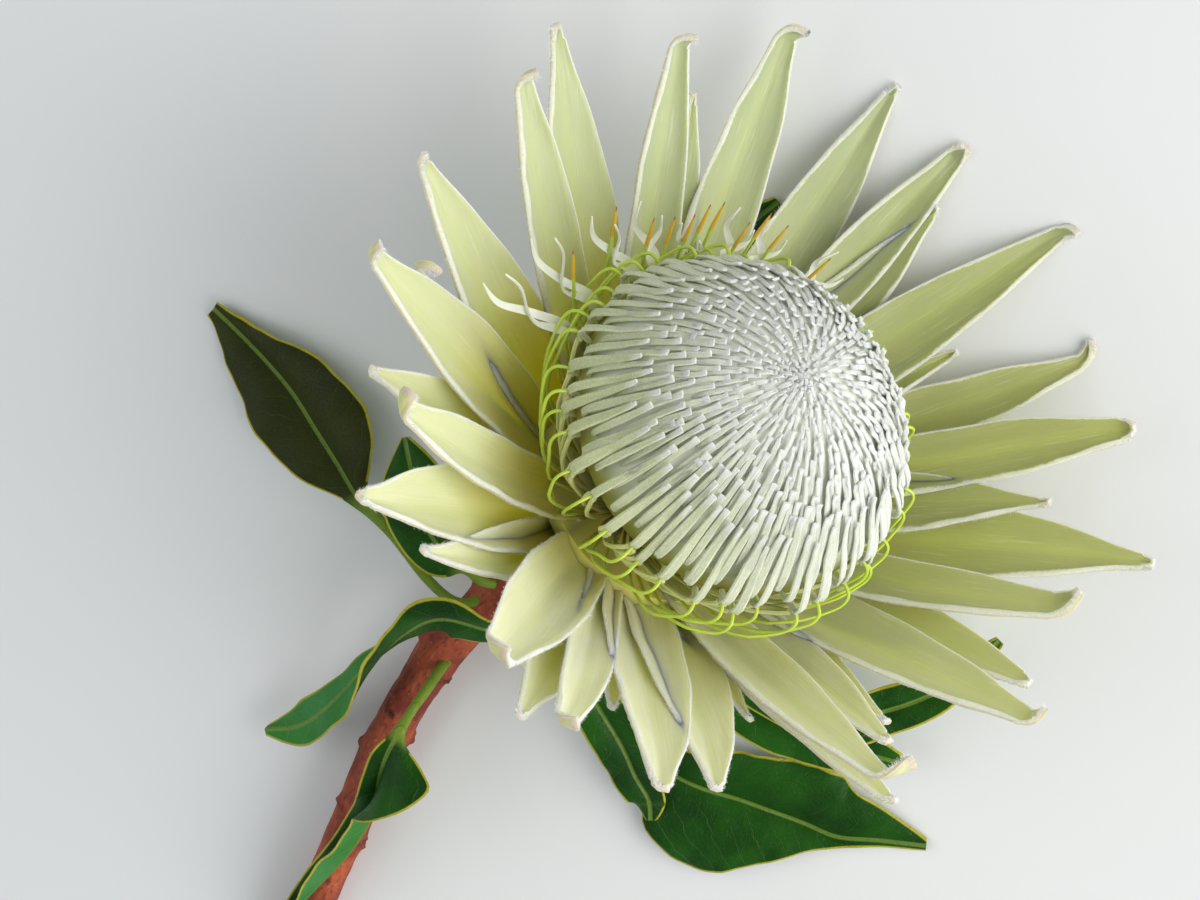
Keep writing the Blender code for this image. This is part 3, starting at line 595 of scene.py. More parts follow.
# azimuth, tip reach, set back, width, cupping, blunt, bow sideways, hook in, hook side, hook length, layer
BRACTS = (
    (-85.5, 114, 0, 17, 38, 0.7, 4, 70, 50, 7, 0),
    (-76, 125, 4, 22, 26, 0.1, 0, 15, 0, 5, 1),
    (-58, 115, 0, 17, 46, 0.6, 3, 60, 70, 7, 0),
    (-57, 99, 17, 16, 20, 0.0, -3, 0, 0, 4, 2),
    (-40.5, 125, 0, 20, 30, 0.5, 2, 50, 80, 8, 0),
    (-23, 123, 7.2, 20, 26, 0.1, 0, 20, 10, 4, 1),
    (-10, 118, 5, 17, 38, 0.7, 1, 50, 0, 6, 0),
    (-7, 98, 16, 19, 24, 0.1, -4, 10, 0, 4, 2),
    (8, 130, -4.8, 20, 30, 0.2, 0, 40, 60, 6, 0),
    (20, 75, 31, 12, 24, 0.2, 0, 20, 0, 3, 2),
    (26.3, 121, 10, 19, 34, 0.3, -3, 30, -60, 9, 1),
    (37.5, 124, 0, 17.5, 30, 0.8, 0, 30, 20, 5, 0),
    (52, 97, 18, 19, 30, 0.0, 3, 20, 0, 4, 2),
    (56, 132, 6, 24, 26, 0.1, 3, 10, 0, 4, 1),
    (68, 109, 0, 14, 30, 1.2, -6, 40, -30, 11, 0),
    (83, 110, 12, 21, 26, 0.2, 5, 10, 0, 4, 2),
    (87, 117, 2, 20, 34, 0.4, -2, 50, -60, 7, 0),
    (110.5, 100, 20, 18, 26, 0.2, 0, 20, 0, 4, 1),
    (109, 96, 30, 16, 34, 0.0, 2, 20, 0, 4, 2),
    (115, 105, 0, 19, 36, 0.5, -8, 95, -60, 12, 0),
    (114, 115, 8, 19, 34, 0.2, -3, 30, -20, 5, 1),
    (135, 92, 44, 12, 34, 0.0, 0, 20, 0, 4, 2),
    (141, 110, 6, 24, 30, 0.1, 5, 20, 0, 4, 1),
    (149, 114, 0, 24, 30, 0.2, 1, 30, 10, 4, 0),
    (159, 102, 34, 11, 24, 0.2, 0, 10, 0, 3, 2),
    (165, 111, 0, 14, 26, 0.9, 3, 70, -40, 7, 0),
    (170, 118, 6, 20, 34, 0.0, 1, 20, 0, 4, 1),
    (178, 110, 0, 22, 30, 0.9, 0, 60, -40, 7, 0),
    (195, 112, 16, 17, 40, 0.0, 9, 20, 0, 4, 2),
    (204, 122, 0, 26, 38, 0.1, 2, 10, 0, 4, 1),
    (215, 105, 0, 19, 42, 0.6, 8, 100, 30, 8, 0),
    (221, 114, 11, 19, 34, 0.0, -3, 20, 0, 4, 2),
    (237, 117, 0, 24, 40, 0.3, 4, 80, 20, 7, 0),
    (238, 106, 22, 11, 40, 0.2, 1, 150, 0, 11, 2),
    (254, 117, 2, 26, 36, 0.0, 5, 40, 10, 4, 1),
)
BODY_ROWS = 40
HOOK_ROWS = 10
WIDTH_STEPS = 7 * 24 + 1
LAYER_DROP = 3.0
HOOK_SPRING = 1.15
RIM_REACH = 1.14
bract_blank = drawn_out("bract_blank", 32, BODY_ROWS + HOOK_ROWS)


def around(azimuth):
    """The way out from the flower's axis at an azimuth."""
    angle = np.radians(np.asarray(azimuth, float))[..., None]
    return np.cos(angle) * DOWNHILL + np.sin(angle) * SIDE


def on_flower(radius, azimuth, height):
    """Points at a radius, azimuth and height in the flower's own terms."""
    return BASE + np.asarray(radius)[..., None] * around(azimuth) + np.asarray(height)[..., None] * AXIS


def joined(pieces, name):
    """Several pieces made one, with their faces turned outwards."""
    bpy.ops.object.select_all(action="DESELECT")
    for piece in pieces:
        piece.select_set(True)
    bpy.context.view_layer.objects.active = pieces[0]
    bpy.ops.object.join()
    pieces[0].name = name
    facing_out(pieces[0])
    return pieces[0]


def facing(azimuth, towards):
    """1 for what grows on that side of the flower, easing to 0 on the side across from it."""
    return 0.5 + 0.5 * math.cos(math.radians(azimuth - towards))


def rotation(axis, angle):
    return np.array(Matrix.Rotation(angle, 3, Vector(axis)))


rim_lines = []
bract_pieces = []
for number, bract in enumerate(BRACTS):
    azimuth, reach, set_back, width, cupping, blunt, bow, hook_in, hook_side, hook_long, layer = bract
    tip = on_flower(reach, azimuth, RING_HEIGHT) + set_back * BEHIND
    high = (tip - BASE) @ AXIS
    outward = tip - BASE - high * AXIS
    far = np.linalg.norm(outward)
    outward = outward / far
    across = np.cross(AXIS, outward)
    lower = LAYER_DROP * layer
    p0 = BASE + (15 + 0.6 * layer) * outward - (2 + lower) * AXIS
    p1 = BASE + 0.36 * far * outward + (10 - lower) * AXIS + 0.5 * bow * across
    p2 = BASE + 0.75 * far * outward + (0.73 * high - 0.8 * lower) * AXIS + bow * across
    end = 1 - max(0.0, math.cos(math.radians(hook_in))) * hook_long / 130
    t = (np.linspace(0, 1, BODY_ROWS + 1) * end)[:, None]
    body = (1 - t) ** 3 * p0 + 3 * (1 - t) ** 2 * t * p1 + 3 * (1 - t) * t**2 * p2 + t**3 * tip
    body_ahead = unit(3 * (1 - t) ** 2 * (p1 - p0) + 6 * (1 - t) * t * (p2 - p1) + 3 * t**2 * (tip - p2))
    centre = list(body)
    ahead = list(body_ahead)
    for _ in range(HOOK_ROWS):
        inner = np.cross(ahead[-1], across)
        turn = rotation(across, math.radians(-hook_in / HOOK_ROWS * HOOK_SPRING))
        turn = rotation(inner, math.radians(-hook_side / HOOK_ROWS * HOOK_SPRING)) @ turn
        ahead.append(unit(turn @ ahead[-1]))
        centre.append(centre[-1] + hook_long / HOOK_ROWS * ahead[-1])
    centre, ahead = np.array(centre), np.array(ahead)
    table = (1 - blunt) * np.array(POINTED_WIDTH) + blunt * np.array(BLUNT_WIDTH)
    table[-1] = max(table[-1], 0.10)
    fine = smooth_path(table[:, None], WIDTH_STEPS)[:, 0]
    hook = 5 + 2 * np.arange(1, HOOK_ROWS + 1) / HOOK_ROWS
    place = np.concatenate((np.linspace(0, 5, BODY_ROWS + 1), hook))
    half = 0.5 * width * np.interp(place, np.linspace(0, 7, WIDTH_STEPS), fine)
    half *= 1 + 0.025 * np.sin(place * 2.3 + number) + 0.012 * np.sin(place * 6.1 + 2 * number)
    bend = math.radians(cupping) * (1.0 + 0.15 * np.clip(place - 4, 0, 1))
    aside = unit(across - (ahead @ across)[:, None] * ahead)
    inner = np.cross(ahead, aside)
    inner *= np.where((inner @ AXIS < 0) & (place <= 5), -1, 1)[:, None]
    piece = copied(bract_blank, "bract_part")
    row, side, through = read_bar(piece)
    radius = half / bend
    angle = (bend[row] * side) * (1 + 0.14 * side**4)
    spots = centre[row] + (radius[row] * np.sin(angle))[:, None] * aside[row]
    spots += (radius[row] * (1 - np.cos(angle)))[:, None] * inner[row]
    normal = np.cos(angle)[:, None] * inner[row] - np.sin(angle)[:, None] * aside[row]
    along = measured(centre)[row]
    lean = 0.8 * math.cos(math.radians(azimuth + 96))
    own = number * 3.1 + np.where(side > 0, 2, 0)
    wool = np.array([noise.noise((a * 0.16, b, 0.5)) for a, b in zip(along, own)])
    wool = np.clip(0.8 + 0.7 * wool, 0.15, 1.6) * (0.5 + 0.5 * np.clip(place[row] / 2.5, 0, 1))
    wool *= 1 + lean * np.sign(side) + 0.5 * np.clip(place[row] - 5, 0, 1)
    bead = np.clip((np.abs(side) - 0.72) / 0.2, 0, 1) * 0.3 * wool * np.clip(half[row] / 4, 0.35, 1)
    tip_fat = 0.6 * np.clip((place[row] - 5.2) / 1.2, 0, 1)
    thick = 0.5 * BRACT_THICK * (0.9 + tip_fat) + bead
    crease = 0.35 * np.exp(-((side / 0.22) ** 2)) * (through > 0)
    fullness = np.clip(np.abs(through) / 0.38, 0, 1)
    ripple = np.array([noise.noise((a * 0.07, s * 1.3, number * 5.7)) for a, s in zip(along, side)])
    spots += (np.sign(through) * fullness * thick - crease + 0.5 * ripple)[:, None] * normal
    spots[:, 2] = np.maximum(spots[:, 2], REST_LEVEL + (np.sign(through) + 1) * thick)
    shape(
        piece,
        spots,
        along=along / 100,
        share=place[row] / 7,
        across=side,
        rim=(1 - np.abs(side)) * half[row] / (0.2 + 0.75 * wool),
        inside=(through > -0.01) * 1.0,
        mint=facing(azimuth, -45),
        warm=facing(azimuth, 40) ** 2,
        gold=facing(azimuth, 232) ** 2,
        shift=number,
        wide=side * half[row] / 10,
    )
    bract_pieces.append(piece)
    c, s = np.cos(RIM_REACH * bend)[:, None], np.sin(RIM_REACH * bend)[:, None]
    for sign in (-1, 1):
        curve = centre + radius[:, None] * (s * sign * aside + (1 - c) * inner)
        out = c * sign * aside + s * inner
        face = c * inner - s * sign * aside
        curve[:, 2] = np.maximum(curve[:, 2], REST_LEVEL + 0.7)
        rim_lines.append((curve, out, face, ahead, 1 + lean * sign, half))
bpy.data.objects.remove(bract_blank)

CUP_SIDES = 96
cup = drawn_out("cup_part", CUP_SIDES, len(CUP_OUTER + CUP_INNER) - 1)
row, x, y = read_bar(cup)
outline = np.array(CUP_OUTER + CUP_INNER, float)
angle = np.degrees(np.arctan2(y, x))
spots = on_flower(outline[row, 0], angle, outline[row, 1])
inside = (row >= len(CUP_OUTER)) * 1.0
cup_marks = {"along": 0, "share": 0, "across": 0, "rim": 9, "mint": 0, "warm": 0.5, "gold": 0.5, "shift": 0}
shape(cup, spots, inside=inside, wide=angle / 20, **cup_marks)
bracts = joined([cup] + bract_pieces, "bract_bowl")

skin, tree, shader = finish_named("bract_skin", 0.5)
across, share, gold = mark(tree, "across"), mark(tree, "share"), mark(tree, "gold")
vein = streaks(tree, mark(tree, "along"), mark(tree, "wide"), 13, 0.35, mark(tree, "shift"))
cloud = clouds(tree, 38, 3)
mint = times(tree, mark(tree, "mint"), ramp(tree, share, 0.18, 0.55))
pale = blend(tree, mint, paint(244, 245, 206), paint(164, 178, 152))
# Bracts on the right face away from the lamp: their darker olive is partly their own yellow-green and partly
# painted shade.
pale = over(tree, pale, mark(tree, "warm"), 0.85, (160, 166, 90))
# On the left, where the dome casts its shadow, the pale turns darker and yellower, and the foot deepens to
# saturated olive and reaches further up the bract: partly the bract's yellow base, partly the dome's painted
# shadow.
pale = over(tree, pale, gold, 0.55, (208, 211, 160))
foot = blend(tree, gold, paint(252, 244, 140), paint(238, 218, 14))
reach = plus(tree, share, times(tree, gold, -0.16))
inner = blend(tree, ramp(tree, reach, 0.02, 0.37), foot, pale)
off_middle = maths(tree, "ABSOLUTE", plus(tree, across, -0.12))
stripe = times(tree, ramp(tree, off_middle, 0.42, 0.0), ramp(tree, share, 0.86, 0.3))
inner = over(tree, inner, stripe, 0.34, (186, 200, 116))
inner = over(tree, inner, ramp(tree, vein, 0.52, 0.72), 0.20, (196, 200, 130))
inner = over(tree, inner, ramp(tree, vein, 0.44, 0.28), 0.22, (244, 246, 222))
outer = blend(tree, ramp(tree, share, 0.15, 0.75), paint(176, 178, 86), paint(212, 214, 150))
outer = over(tree, outer, ramp(tree, vein, 0.5, 0.7), 0.30, (160, 160, 84))
tone = blend(tree, mark(tree, "inside"), outer, inner)
tone = over(tree, tone, ramp(tree, cloud, 0.55, 0.8), 0.12, (210, 214, 132))
flock = clouds(tree, 900, 4, 0.7)
ragged = plus(tree, mark(tree, "rim"), times(tree, plus(tree, flock, -0.5), 1.2))
edge = times(tree, ramp(tree, ragged, 0.9, 0.35), 0.8)
felt = maths(tree, "MAXIMUM", edge, ramp(tree, share, 0.90, 0.965))
felt = times(tree, felt, ramp(tree, share, 0.12, 0.40))
blush = times(tree, ramp(tree, share, 0.80, 0.98), ramp(tree, cloud, 0.42, 0.62))
wool_tone = blend(tree, flock, paint(220, 221, 204), paint(248, 248, 242))
# The wool on the bracts' outer faces, turned away from the light, is tinted pinkish grey: a real pinkish
# tint darkened by painted shade. Near the tips the blush patches carry the same tan on both faces.
tan_and_shade = times(tree, maths(tree, "SUBTRACT", 1.0, mark(tree, "inside")), 0.75)
tan_and_shade = maths(tree, "MAXIMUM", tan_and_shade, times(tree, blush, 0.5))
wool_tone = blend(tree, tan_and_shade, wool_tone, paint(192, 174, 160))
tone = blend(tree, felt, tone, wool_tone)
coat(tree, shader, tone)
tree.links.new(plus(tree, times(tree, felt, 0.45), 0.46), shader.inputs["Roughness"])
woolly = times(tree, felt, times(tree, flock, 2.2))
bump(tree, shader, plus(tree, times(tree, vein, 0.5), woolly), 0.45, 0.55)
shader.inputs["Sheen Weight"].default_value = 0.15
shader.inputs["Subsurface Weight"].default_value = 0.8
shader.inputs["Subsurface Radius"].default_value = (1.0, 0.95, 0.35)
shader.inputs["Subsurface Scale"].default_value = 4 * MM
bracts.data.materials.append(skin)
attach(bracts, "root")
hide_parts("bracts")

# Floret head
# Close to five hundred florets packed into a dome on one receptacle. At the rim, pairs of cream tubes run
# down to the base. Each floret folds over at the top into a strap felted in grey-white wool, blunt at the
# fold, frayed at the other end, and laid over the next straps towards the crown.
DOME_RADIUS = 51.0
DOME_BASE = 64.0
DOME_HEIGHT = 43.0
DOME_POWER = 1.12
FLORETS = 470
GOLDEN = 137.508
FLORET_SPREAD = 0.74
FILLED = 0.965
quarter = np.linspace(0, math.pi / 2, 201)
rise, wide = np.maximum(np.cos(quarter), 0.001), np.maximum(np.sin(quarter), 0.001)
dome_radius = DOME_RADIUS * np.sin(quarter) ** DOME_POWER
dome_height = DOME_BASE + DOME_HEIGHT * rise**DOME_POWER
dome_run = measured(np.stack((dome_radius, dome_height), axis=1))
steep = wide * rise ** (DOME_POWER - 1) / DOME_RADIUS
level = rise * wide ** (DOME_POWER - 1) / DOME_HEIGHT
slope = unit(np.stack((steep, level), axis=1))


def dome_share(azimuth):
    """How far the florets reach on each side of the dome, which is a little flat above."""
    return FILLED - 0.03 * np.cos(np.radians(azimuth + 30))


def over_dome(run, azimuth, lift):
    """Points at a distance from the crown over the dome, raised by lift, with the outward normals."""
    out = np.interp(run, dome_run, slope[:, 0])[..., None] * around(azimuth)
    out = out + np.interp(run, dome_run, slope[:, 1])[..., None] * AXIS
    radius = np.interp(run, dome_run, dome_radius) * dome_share(azimuth)
    spots = on_flower(radius, azimuth, np.interp(run, dome_run, dome_height))
    return spots + np.asarray(lift)[..., None] * out, out


CORE_FLUTES = 26
CONE_ROWS = 10
CROWN_ROWS = 20
core = drawn_out("core_part", 4 * CORE_FLUTES, CONE_ROWS + CROWN_ROWS)
row, x, y = read_bar(core)
angle = np.degrees(np.arctan2(y, x))
cone = smooth_path([(12, 3.4), (19, 20), (28, 40), (35, 54), (41, 60), (46.5, 63.0)], CONE_ROWS + 1)
picks = np.linspace(190, 2, CROWN_ROWS).astype(int)
crown = np.stack((FILLED * dome_radius[picks], dome_height[picks] - 0.2), axis=1)
outline = np.concatenate((cone, crown))
flute = 1 - 0.03 * np.abs(np.sin(np.radians(angle) * CORE_FLUTES)) * (row < CONE_ROWS)
spots = on_flower(outline[row, 0] * flute, angle, outline[row, 1])
shape(core, spots, share=np.clip(row / CONE_ROWS, 0, 2))
facing_out(core)
core.name = "floret_core"
deep, tree, shader = finish_named("floret_core_olive", 0.8)
cloud = clouds(tree, 260, 3)
# The core shows only in the gaps between the straps. Its cone is painted dark olive: an olive colour
# darkened as painted shade in the deep gaps.
low = blend(tree, cloud, paint(130, 126, 40), paint(156, 152, 60))
top = blend(tree, cloud, paint(160, 168, 108), paint(196, 203, 148))
share = mark(tree, "share")
# Painted light: towards the crown the core turns near white, so the gaps there look pale, as if lit through
# the felt, instead of shaded.
top = blend(tree, ramp(tree, share, 1.2, 1.6), top, paint(238, 242, 228))
coat(tree, shader, blend(tree, ramp(tree, share, 1.12, 1.4), low, top))
bump(tree, shader, cloud, 0.5)
core.data.materials.append(deep)

stations = np.array((0, 0.035, 0.08, 0.17, 0.30, 0.45, 0.60, 0.76, 0.90, 1))
LIFTED_AT = (0, 0.035, 0.08, 0.17, 0.35, 0.60, 0.76, 0.9, 1)
WIDE_AT = (0, 0.06, 0.3, 0.6, 0.85, 1)
BLUNT = np.array((0.6, 1.0, 1.0, 0.80, 0.60, 0.42))
SLIM = np.array((0.2, 0.35, 0.8, 0.92, 0.72, 0.95))
RIM_FROM = 0.93
strap_blank = drawn_out("strap_blank", 8, len(stations) - 1)
draw = random.Random(7)
straps = []
rim_ends = []
frayed = []
for i in range(FLORETS):
    rim_share = ((i + 0.5) / FLORETS) ** FLORET_SPREAD
    outer = dome_run[-1] * rim_share
    length = 2.4 + 25.0 * rim_share**1.1 * draw.uniform(0.88, 1.10)
    azimuth = i * GOLDEN + draw.uniform(-1.0, 1.0)
    swing = draw.uniform(-1.6, 1.6) * (1 if outer > 30 else 2.5)
    width = (1.3 + 1.9 * rim_share**1.8) * draw.uniform(0.85, 1.15)
    raised = draw.uniform(0.7, 1.3) * (0.6 + 1.9 * rim_share)
    edge = float(np.clip((rim_share - 0.80) / 0.16, 0, 1))
    flare = edge * draw.uniform(0.6, 3.2)
    knee = 0.2 + 1.4 * edge + flare
    fold = 1.6 + 1.2 * rim_share
    run = outer - length * stations
    above = draw.uniform(-0.2, 0.3) + 0.7 * edge
    bent = (knee - 2 - fold, knee - 1, knee - 0.3, knee, 0.6 * knee + 0.5)
    lift = np.interp(stations, LIFTED_AT, (*bent, 1.2, 1.5, 0.8 * raised, raised + 0.5))
    lift = lift + above * (stations > 0.03)
    centre, normal = over_dome(np.maximum(run, 0), azimuth + swing * stations**1.5, lift)
    centre += np.minimum(run, 0)[:, None] * around(azimuth)
    ahead = unit(np.gradient(centre, axis=0))
    aside = unit(np.cross(normal, around(azimuth)))
    high = np.cross(ahead, -aside)
    roll = draw.uniform(-0.4, 0.4)
    c, s = math.cos(roll), math.sin(roll)
    aside, high = c * aside + s * high, c * high - s * aside
    half = 0.5 * width * np.interp(stations, WIDE_AT, edge * BLUNT + (1 - edge) * SLIM)
    deep_half = 0.5 * np.interp(stations, (0, 0.1, 0.4, 0.8, 1), (1.3, 1.5, 1.5, 1.2, 1.1))
    deep_half *= 0.65 + 0.35 * rim_share
    strap = copied(strap_blank, "strap_part")
    row, side, through = read_bar(strap)
    groove = np.where(through > 0.9, 0.5, 1.0)
    spots = centre[row] + (side * half[row])[:, None] * aside[row]
    spots += (through * deep_half[row] * groove)[:, None] * high[row]
    grey = draw.random()
    shape(
        strap,
        spots,
        along=run[row] / 10,
        across=side * 0.2 + through * 0.1,
        share=stations[row],
        shift=grey * 40,
        grey=grey * rim_share,
        moss=rim_share * facing(azimuth, 215),
        crown=1 - rim_share,
    )
    straps.append(strap)
    frayed.append((centre[-1], ahead[-1], high[-1], aside[-1], half[-1] + 0.15))
    frayed.append((centre[6], ahead[6], high[6], aside[6], half[6]))
    if rim_share > RIM_FROM:
        radius = float(np.interp(outer, dome_run, dome_radius)) * dome_share(azimuth)
        rim_ends.append((radius + flare, azimuth, float(np.interp(outer, dome_run, dome_height))))
bpy.data.objects.remove(strap_blank)
straps = joined(straps, "floret_straps")
felt, tree, shader = finish_named("floret_felt", 0.85)
fibre = streaks(tree, mark(tree, "along"), mark(tree, "across"), 26, 0.10, mark(tree, "shift"))
flock = clouds(tree, 1500, 3, 0.7)
tone = blend(tree, ramp(tree, fibre, 0.34, 0.66), paint(222, 227, 214), paint(248, 250, 244))
tone = over(tree, tone, mark(tree, "grey"), 0.25, (206, 212, 200))
tone = blend(tree, ramp(tree, mark(tree, "crown"), 0.25, 0.7), tone, paint(250, 251, 248))
# Painted shade: straps on the left of the dome, away from the lamp, turn greyish green towards the rim.
tone = over(tree, tone, mark(tree, "moss"), 0.9, (188, 196, 134))
tone = over(tree, tone, ramp(tree, flock, 0.4, 0.7), 0.30, (248, 249, 244))
share = mark(tree, "share")
tone = over(tree, tone, ramp(tree, share, 0.80, 1.0), 0.8, (250, 251, 247))
tone = over(tree, tone, ramp(tree, share, 0.05, 0.0), 0.75, (214, 218, 150))
coat(tree, shader, tone)
bump(tree, shader, plus(tree, fibre, times(tree, flock, 0.6)), 0.5, 0.8)
shader.inputs["Sheen Weight"].default_value = 0.3
shader.inputs["Subsurface Weight"].default_value = 0.5
shader.inputs["Subsurface Radius"].default_value = (1.0, 1.0, 0.85)
shader.inputs["Subsurface Scale"].default_value = 2 * MM
straps.data.materials.append(felt)


def waxy(name, share_marks):
    """A smooth stalk whose colour changes along its length."""
    made, tree, shader = finish_named(name, 0.38)
    share = mark(tree, "share")
    cloud = clouds(tree, 300, 2)
    tone = None
    for low, high, first, second in share_marks:
        patch = blend(tree, cloud, paint(*first), paint(*second))
        tone = patch if tone is None else blend(tree, ramp(tree, share, low, high), tone, patch)
    coat(tree, shader, tone)
    bump(tree, shader, cloud, 0.15, 0.4)
    return made


def flower_path(marks, count):
    """One smooth line through marks: radius, azimuth, height, then what is carried along."""
    return smooth_path([(*on_flower(*spot[:3]), *spot[3:]) for spot in marks], count)


def stalk(blank, rows, marks):
    """A thin round stalk through marks: radius, azimuth, height and half thickness."""
    made = copied(blank, "stalk_part")
    path = flower_path(marks, rows + 1)
    spots, _, row, _ = swept(made, path[:, :3], path[:, 3])
    shape(made, spots, share=row / rows)
    return made


TUBE_ROWS = 9
TOP_AZIMUTH = 190
TUBE_DRAPE = 18
tube_blank = drawn_out("tube_blank", 6, TUBE_ROWS)
tubes = []
for radius, azimuth, height in rim_ends:
    drape = -TUBE_DRAPE * math.sin(math.radians(azimuth - TOP_AZIMUTH))
    for twin in (-1.3, 1.3):
        drift = draw.uniform(-3, 3)
        foot = draw.uniform(-1.5, 1.5)
        marks = (
            (radius + 0.2, azimuth + 0.6 * twin, height + 0.3, 0.9),
            (radius + 0.1, azimuth + twin, height - 3, 0.75),
            (47 + foot, azimuth + twin + 0.3 * drift + 0.5 * drape, 50, 0.7),
            (36 + foot, azimuth + twin + 0.7 * drift + drape, 33, 0.65),
            (23, azimuth + drift + drape, 15, 0.6),
            (13, azimuth + drift + drape, 5, 0.6),
        )
        tubes.append(stalk(tube_blank, TUBE_ROWS, marks))
bpy.data.objects.remove(tube_blank)
tubes = joined(tubes, "floret_tubes")
cream = ((0, 0, (240, 241, 186), (228, 232, 160)), (0.45, 0.95, (190, 184, 92), (160, 150, 62)))
tubes.data.materials.append(waxy("tube_cream", cream))

# Styles
# Each floret holds one lime-green style. Most are still caught at the tip and loop out from the rim and
# back down; eleven have sprung free and stand straight, with an orange-yellow pollen tip. Pale strips of
# floret wall have peeled away and curl among them.
STYLE_ROWS = 20
LOOP_DRAPE = 24
loop_blank = drawn_out("loop_blank", 6, STYLE_ROWS)
styles = []
for radius, azimuth, height in rim_ends:
    reach = draw.uniform(5.0, 7.5)
    drop = draw.uniform(8, 12)
    drape = -LOOP_DRAPE * math.sin(math.radians(azimuth - TOP_AZIMUTH)) + draw.uniform(-3, 3)
    marks = (
        (radius - 1, azimuth, height + 0.9, 0.5),
        (radius + 1.5, azimuth, height + 1.6, 0.5),
        (radius + 0.75 * reach, azimuth + 0.02 * drape, height + 1.2, 0.52),
        (radius + 0.98 * reach, azimuth + 0.07 * drape, height - 0.8, 0.52),
        (radius + reach, azimuth + 0.18 * drape, height - 4, 0.52),
        (radius + 0.75 * reach, azimuth + 0.5 * drape, height - drop, 0.52),
        (51, azimuth + 0.85 * drape, 46, 0.5),
        (37, azimuth + drape, 30, 0.5),
        (26, azimuth + drape, 18, 0.5),
    )
    styles.append(stalk(loop_blank, STYLE_ROWS, marks))
styles = joined(styles, "looped_styles")
lime = ((0, 0, (206, 224, 92), (182, 208, 56)), (0.55, 0.95, (196, 200, 84), (166, 170, 60)))
styles.data.materials.append(waxy("style_lime", lime))
# opened styles: azimuth of the tip, tip radius, tip height
OPEN_STYLES = (
    (-97, 68, 72),
    (-80, 71, 72),
    (-72, 64, 72),
    (-66, 63, 72),
    (-60, 63, 72),
    (-55, 66, 72),
    (-51, 67, 72),
    (-44, 62, 72),
    (-38, 67, 72),
    (-33, 65, 72),
    (-19, 62, 72),
)

# peeled strips: azimuth, radius and height of the tip, azimuth of the foot, sag
PEELED_STRIPS = (
    (-116, 84, 70, -110, 3),
    (-102, 79, 71, -97, 4),
    (-87, 72, 71, -79, 2),
    (-73, 70, 70, -71, 1),
    (-64, 61, 70, -54, 2),
    (-46, 67, 69, -46, 1),
    (-36, 68, 68, -37, 1),
    (-17, 69, 66, -23, 1),
)
open_styles = []
for azimuth, radius, height in OPEN_STYLES:
    lean = draw.uniform(-1.5, 1.5)
    marks = (
        (22, azimuth - 8, 28, 0.6),
        (43, azimuth - 6, 50, 0.62),
        (0.80 * radius, azimuth - 4 + lean, height - 18, 0.6),
        (0.90 * radius, azimuth - 1.6, height - 9.5, 0.5),
        (0.925 * radius, azimuth - 1.2, height - 7.5, 0.62),
        (0.97 * radius, azimuth - 0.4, height - 3, 0.5),
        (radius, azimuth, height, 0.12),
    )
    open_styles.append(stalk(loop_blank, STYLE_ROWS, marks))
open_styles = joined(open_styles, "open_styles")
pollen = (
    (0, 0, (190, 210, 90), (168, 196, 62)),
    (0.60, 0.66, (205, 160, 36), (214, 176, 60)),
    (0.90, 0.97, (150, 92, 30), (120, 70, 24)),
)
open_styles.data.materials.append(waxy("style_with_pollen", pollen))
bpy.data.objects.remove(loop_blank)

STRIP_ROWS = 30
STRIP_KNEE = 54
strip_blank = drawn_out("strip_blank", 8, STRIP_ROWS)
strips = []
for number, (azimuth, reach, height, foot, sag) in enumerate(PEELED_STRIPS):
    for prong in (-1, 1):
        apart = 0 if prong > 0 else 5
        end, turn = reach - apart, azimuth + apart
        near, far = 0.6 * STRIP_KNEE + 0.4 * end, 0.25 * STRIP_KNEE + 0.75 * end
        marks = (
            (22, foot + prong, 28, 0.7, 0.2),
            (42, foot + prong, 48, 0.9, 0.3),
            (STRIP_KNEE, foot + prong, 60, 1.2, 0.5),
            (near, 0.6 * foot + 0.4 * turn + 2 * prong, 60.5 - sag, 1.2, 0.5 * prong),
            (far, 0.25 * foot + 0.75 * turn - prong, 15 + 0.7 * height, 0.9, 0.9 * prong),
            (end, turn, height + prong, 0.2, 1.2 * prong),
        )
        path = flower_path(marks, STRIP_ROWS + 1)
        centre, half = path[:, :3], path[:, 3]
        twist = path[:, 4:5] + 0.25 * np.sin(number + np.linspace(0, 6, STRIP_ROWS + 1))[:, None]
        ahead = unit(np.gradient(centre, axis=0))
        aside = unit(np.cross(ahead, AXIS))
        high = np.cross(aside, ahead)
        c, s = np.cos(twist), np.sin(twist)
        aside, high = c * aside + s * high, c * high - s * aside
        strip = copied(strip_blank, "strip_part")
        row, side, through = read_bar(strip)
        spots = centre[row] + (side * half[row])[:, None] * aside[row]
        spots += (0.3 * through + 0.45 * half[row] * side**2)[:, None] * high[row]
        shape(strip, spots, share=row / STRIP_ROWS)
        strips.append(strip)
bpy.data.objects.remove(strip_blank)
strips = joined(strips, "peeled_strips")
white = ((0, 0, (220, 224, 160), (206, 212, 140)), (0.35, 0.6, (246, 247, 236), (234, 236, 218)))
strips.data.materials.append(waxy("strip_white", white))
for piece in (core, straps, tubes, styles, open_styles, strips):
    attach(piece, "root")
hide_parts("floret_head")

# Wool
# Short white hairs that stand out of the felt: a fringe along every bract rim, thicker over the tips, and
# frayed ends on the florets. Each hair is a thin spike of four faces, set on its own root.


def read_off(far, run, values):
    """The row of values at a distance along their line."""
    return np.array([np.interp(far, run, column) for column in values.T])


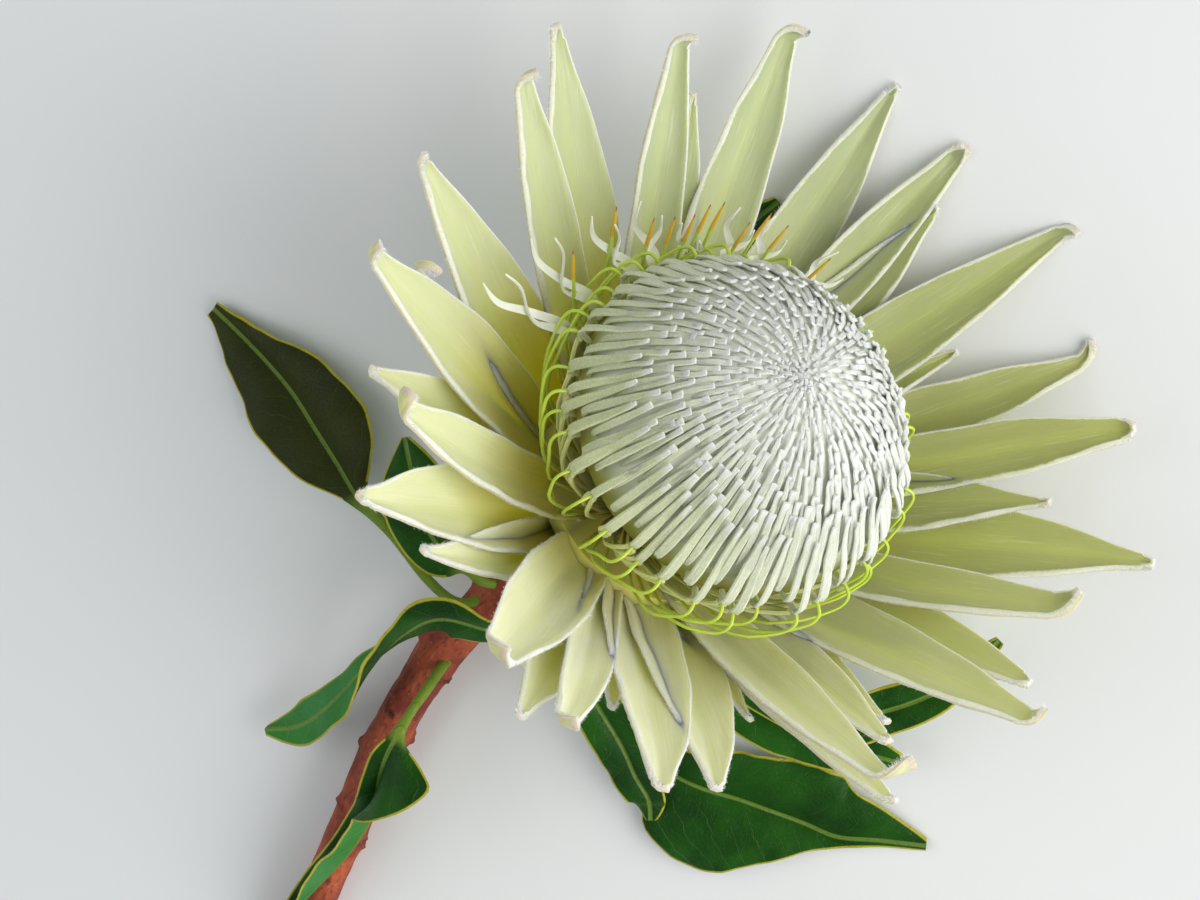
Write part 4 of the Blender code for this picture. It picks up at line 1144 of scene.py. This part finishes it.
def hairs(name, roots, ways, lengths, thickness, tint):
    """A thin spike at each root, in millimetres."""
    roots, ways, lengths = np.array(roots), unit(np.array(ways)), np.array(lengths)[:, None]
    first = unit(np.cross(ways, np.array((0.31, 0.72, 0.62))))
    second = np.cross(ways, first)
    spots = np.empty((len(roots), 4, 3))
    for k in range(3):
        angle = 2 * math.pi * k / 3
        spots[:, k] = roots + thickness * (math.cos(angle) * first + math.sin(angle) * second)
    spots[:, 3] = roots + lengths * ways
    spots[..., 2] = np.maximum(spots[..., 2], REST_LEVEL)
    corners = np.array([(0, 1, 3), (1, 2, 3), (2, 0, 3), (2, 1, 0)])
    faces = (np.arange(len(roots))[:, None, None] * 4 + corners).reshape(-1, 3)
    mesh = bpy.data.meshes.new(name)
    mesh.from_pydata(((spots.reshape(-1, 3) + MOVE) * MM).tolist(), [], faces.tolist())
    made = bpy.data.objects.new(name, mesh)
    bpy.context.scene.collection.objects.link(made)
    skin, tree, shader = finish_named(name + "_white", 0.9)
    tone = blend(tree, clouds(tree, 120, 2), paint(*tint), paint(255, 255, 253))
    coat(tree, shader, tone)
    mesh.materials.append(skin)
    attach(made, "root")
    return made


HAIR_STEP = 0.36
TIP_LONG = 9
TIP_HAIRS = 150
FRAY_HAIRS = 8
draw = np.random.default_rng(5)
roots, ways, lengths = [], [], []
for curve, out, face, ahead, amount, half in rim_lines:
    run = measured(curve)
    along_rim = draw.uniform(0.12 * run[-1], run[-1], int(run[-1] / HAIR_STEP))
    over_tip = run[-1] - draw.uniform(0, TIP_LONG, TIP_HAIRS) ** 1.15
    for far in np.concatenate((along_rim, over_tip)):
        spot, off, up, on = (read_off(far, run, values) for values in (curve, out, face, ahead))
        near_tip = np.clip((far - run[-1] + TIP_LONG) / TIP_LONG, 0, 1)
        ways.append(off + draw.normal(0.15, 0.45) * up + draw.normal(0.25, 0.4) * on)
        inwards = draw.uniform(0, 1) ** 2 * min(1.2, 0.5 * np.interp(far, run, half))
        roots.append(spot - inwards * off + draw.uniform(-0.6, 0.6) * up)
        lengths.append(draw.uniform(0.5, 1.4) * amount * (0.8 + 0.5 * near_tip))
fringe = hairs("bract_wool", roots, ways, lengths, 0.055, (236, 234, 228))
roots, ways, lengths = [], [], []
for centre, ahead, high, aside, half in frayed:
    for _ in range(FRAY_HAIRS):
        roots.append(centre + draw.uniform(-1, 1) * half * aside - draw.uniform(0, 2.2) * ahead + 0.2 * high)
        ways.append(ahead + draw.normal(0, 0.35) * aside + draw.normal(0.35, 0.3) * high)
        lengths.append(draw.uniform(0.7, 2.0))
fluff = hairs("floret_wool", roots, ways, lengths, 0.06, (240, 242, 236))
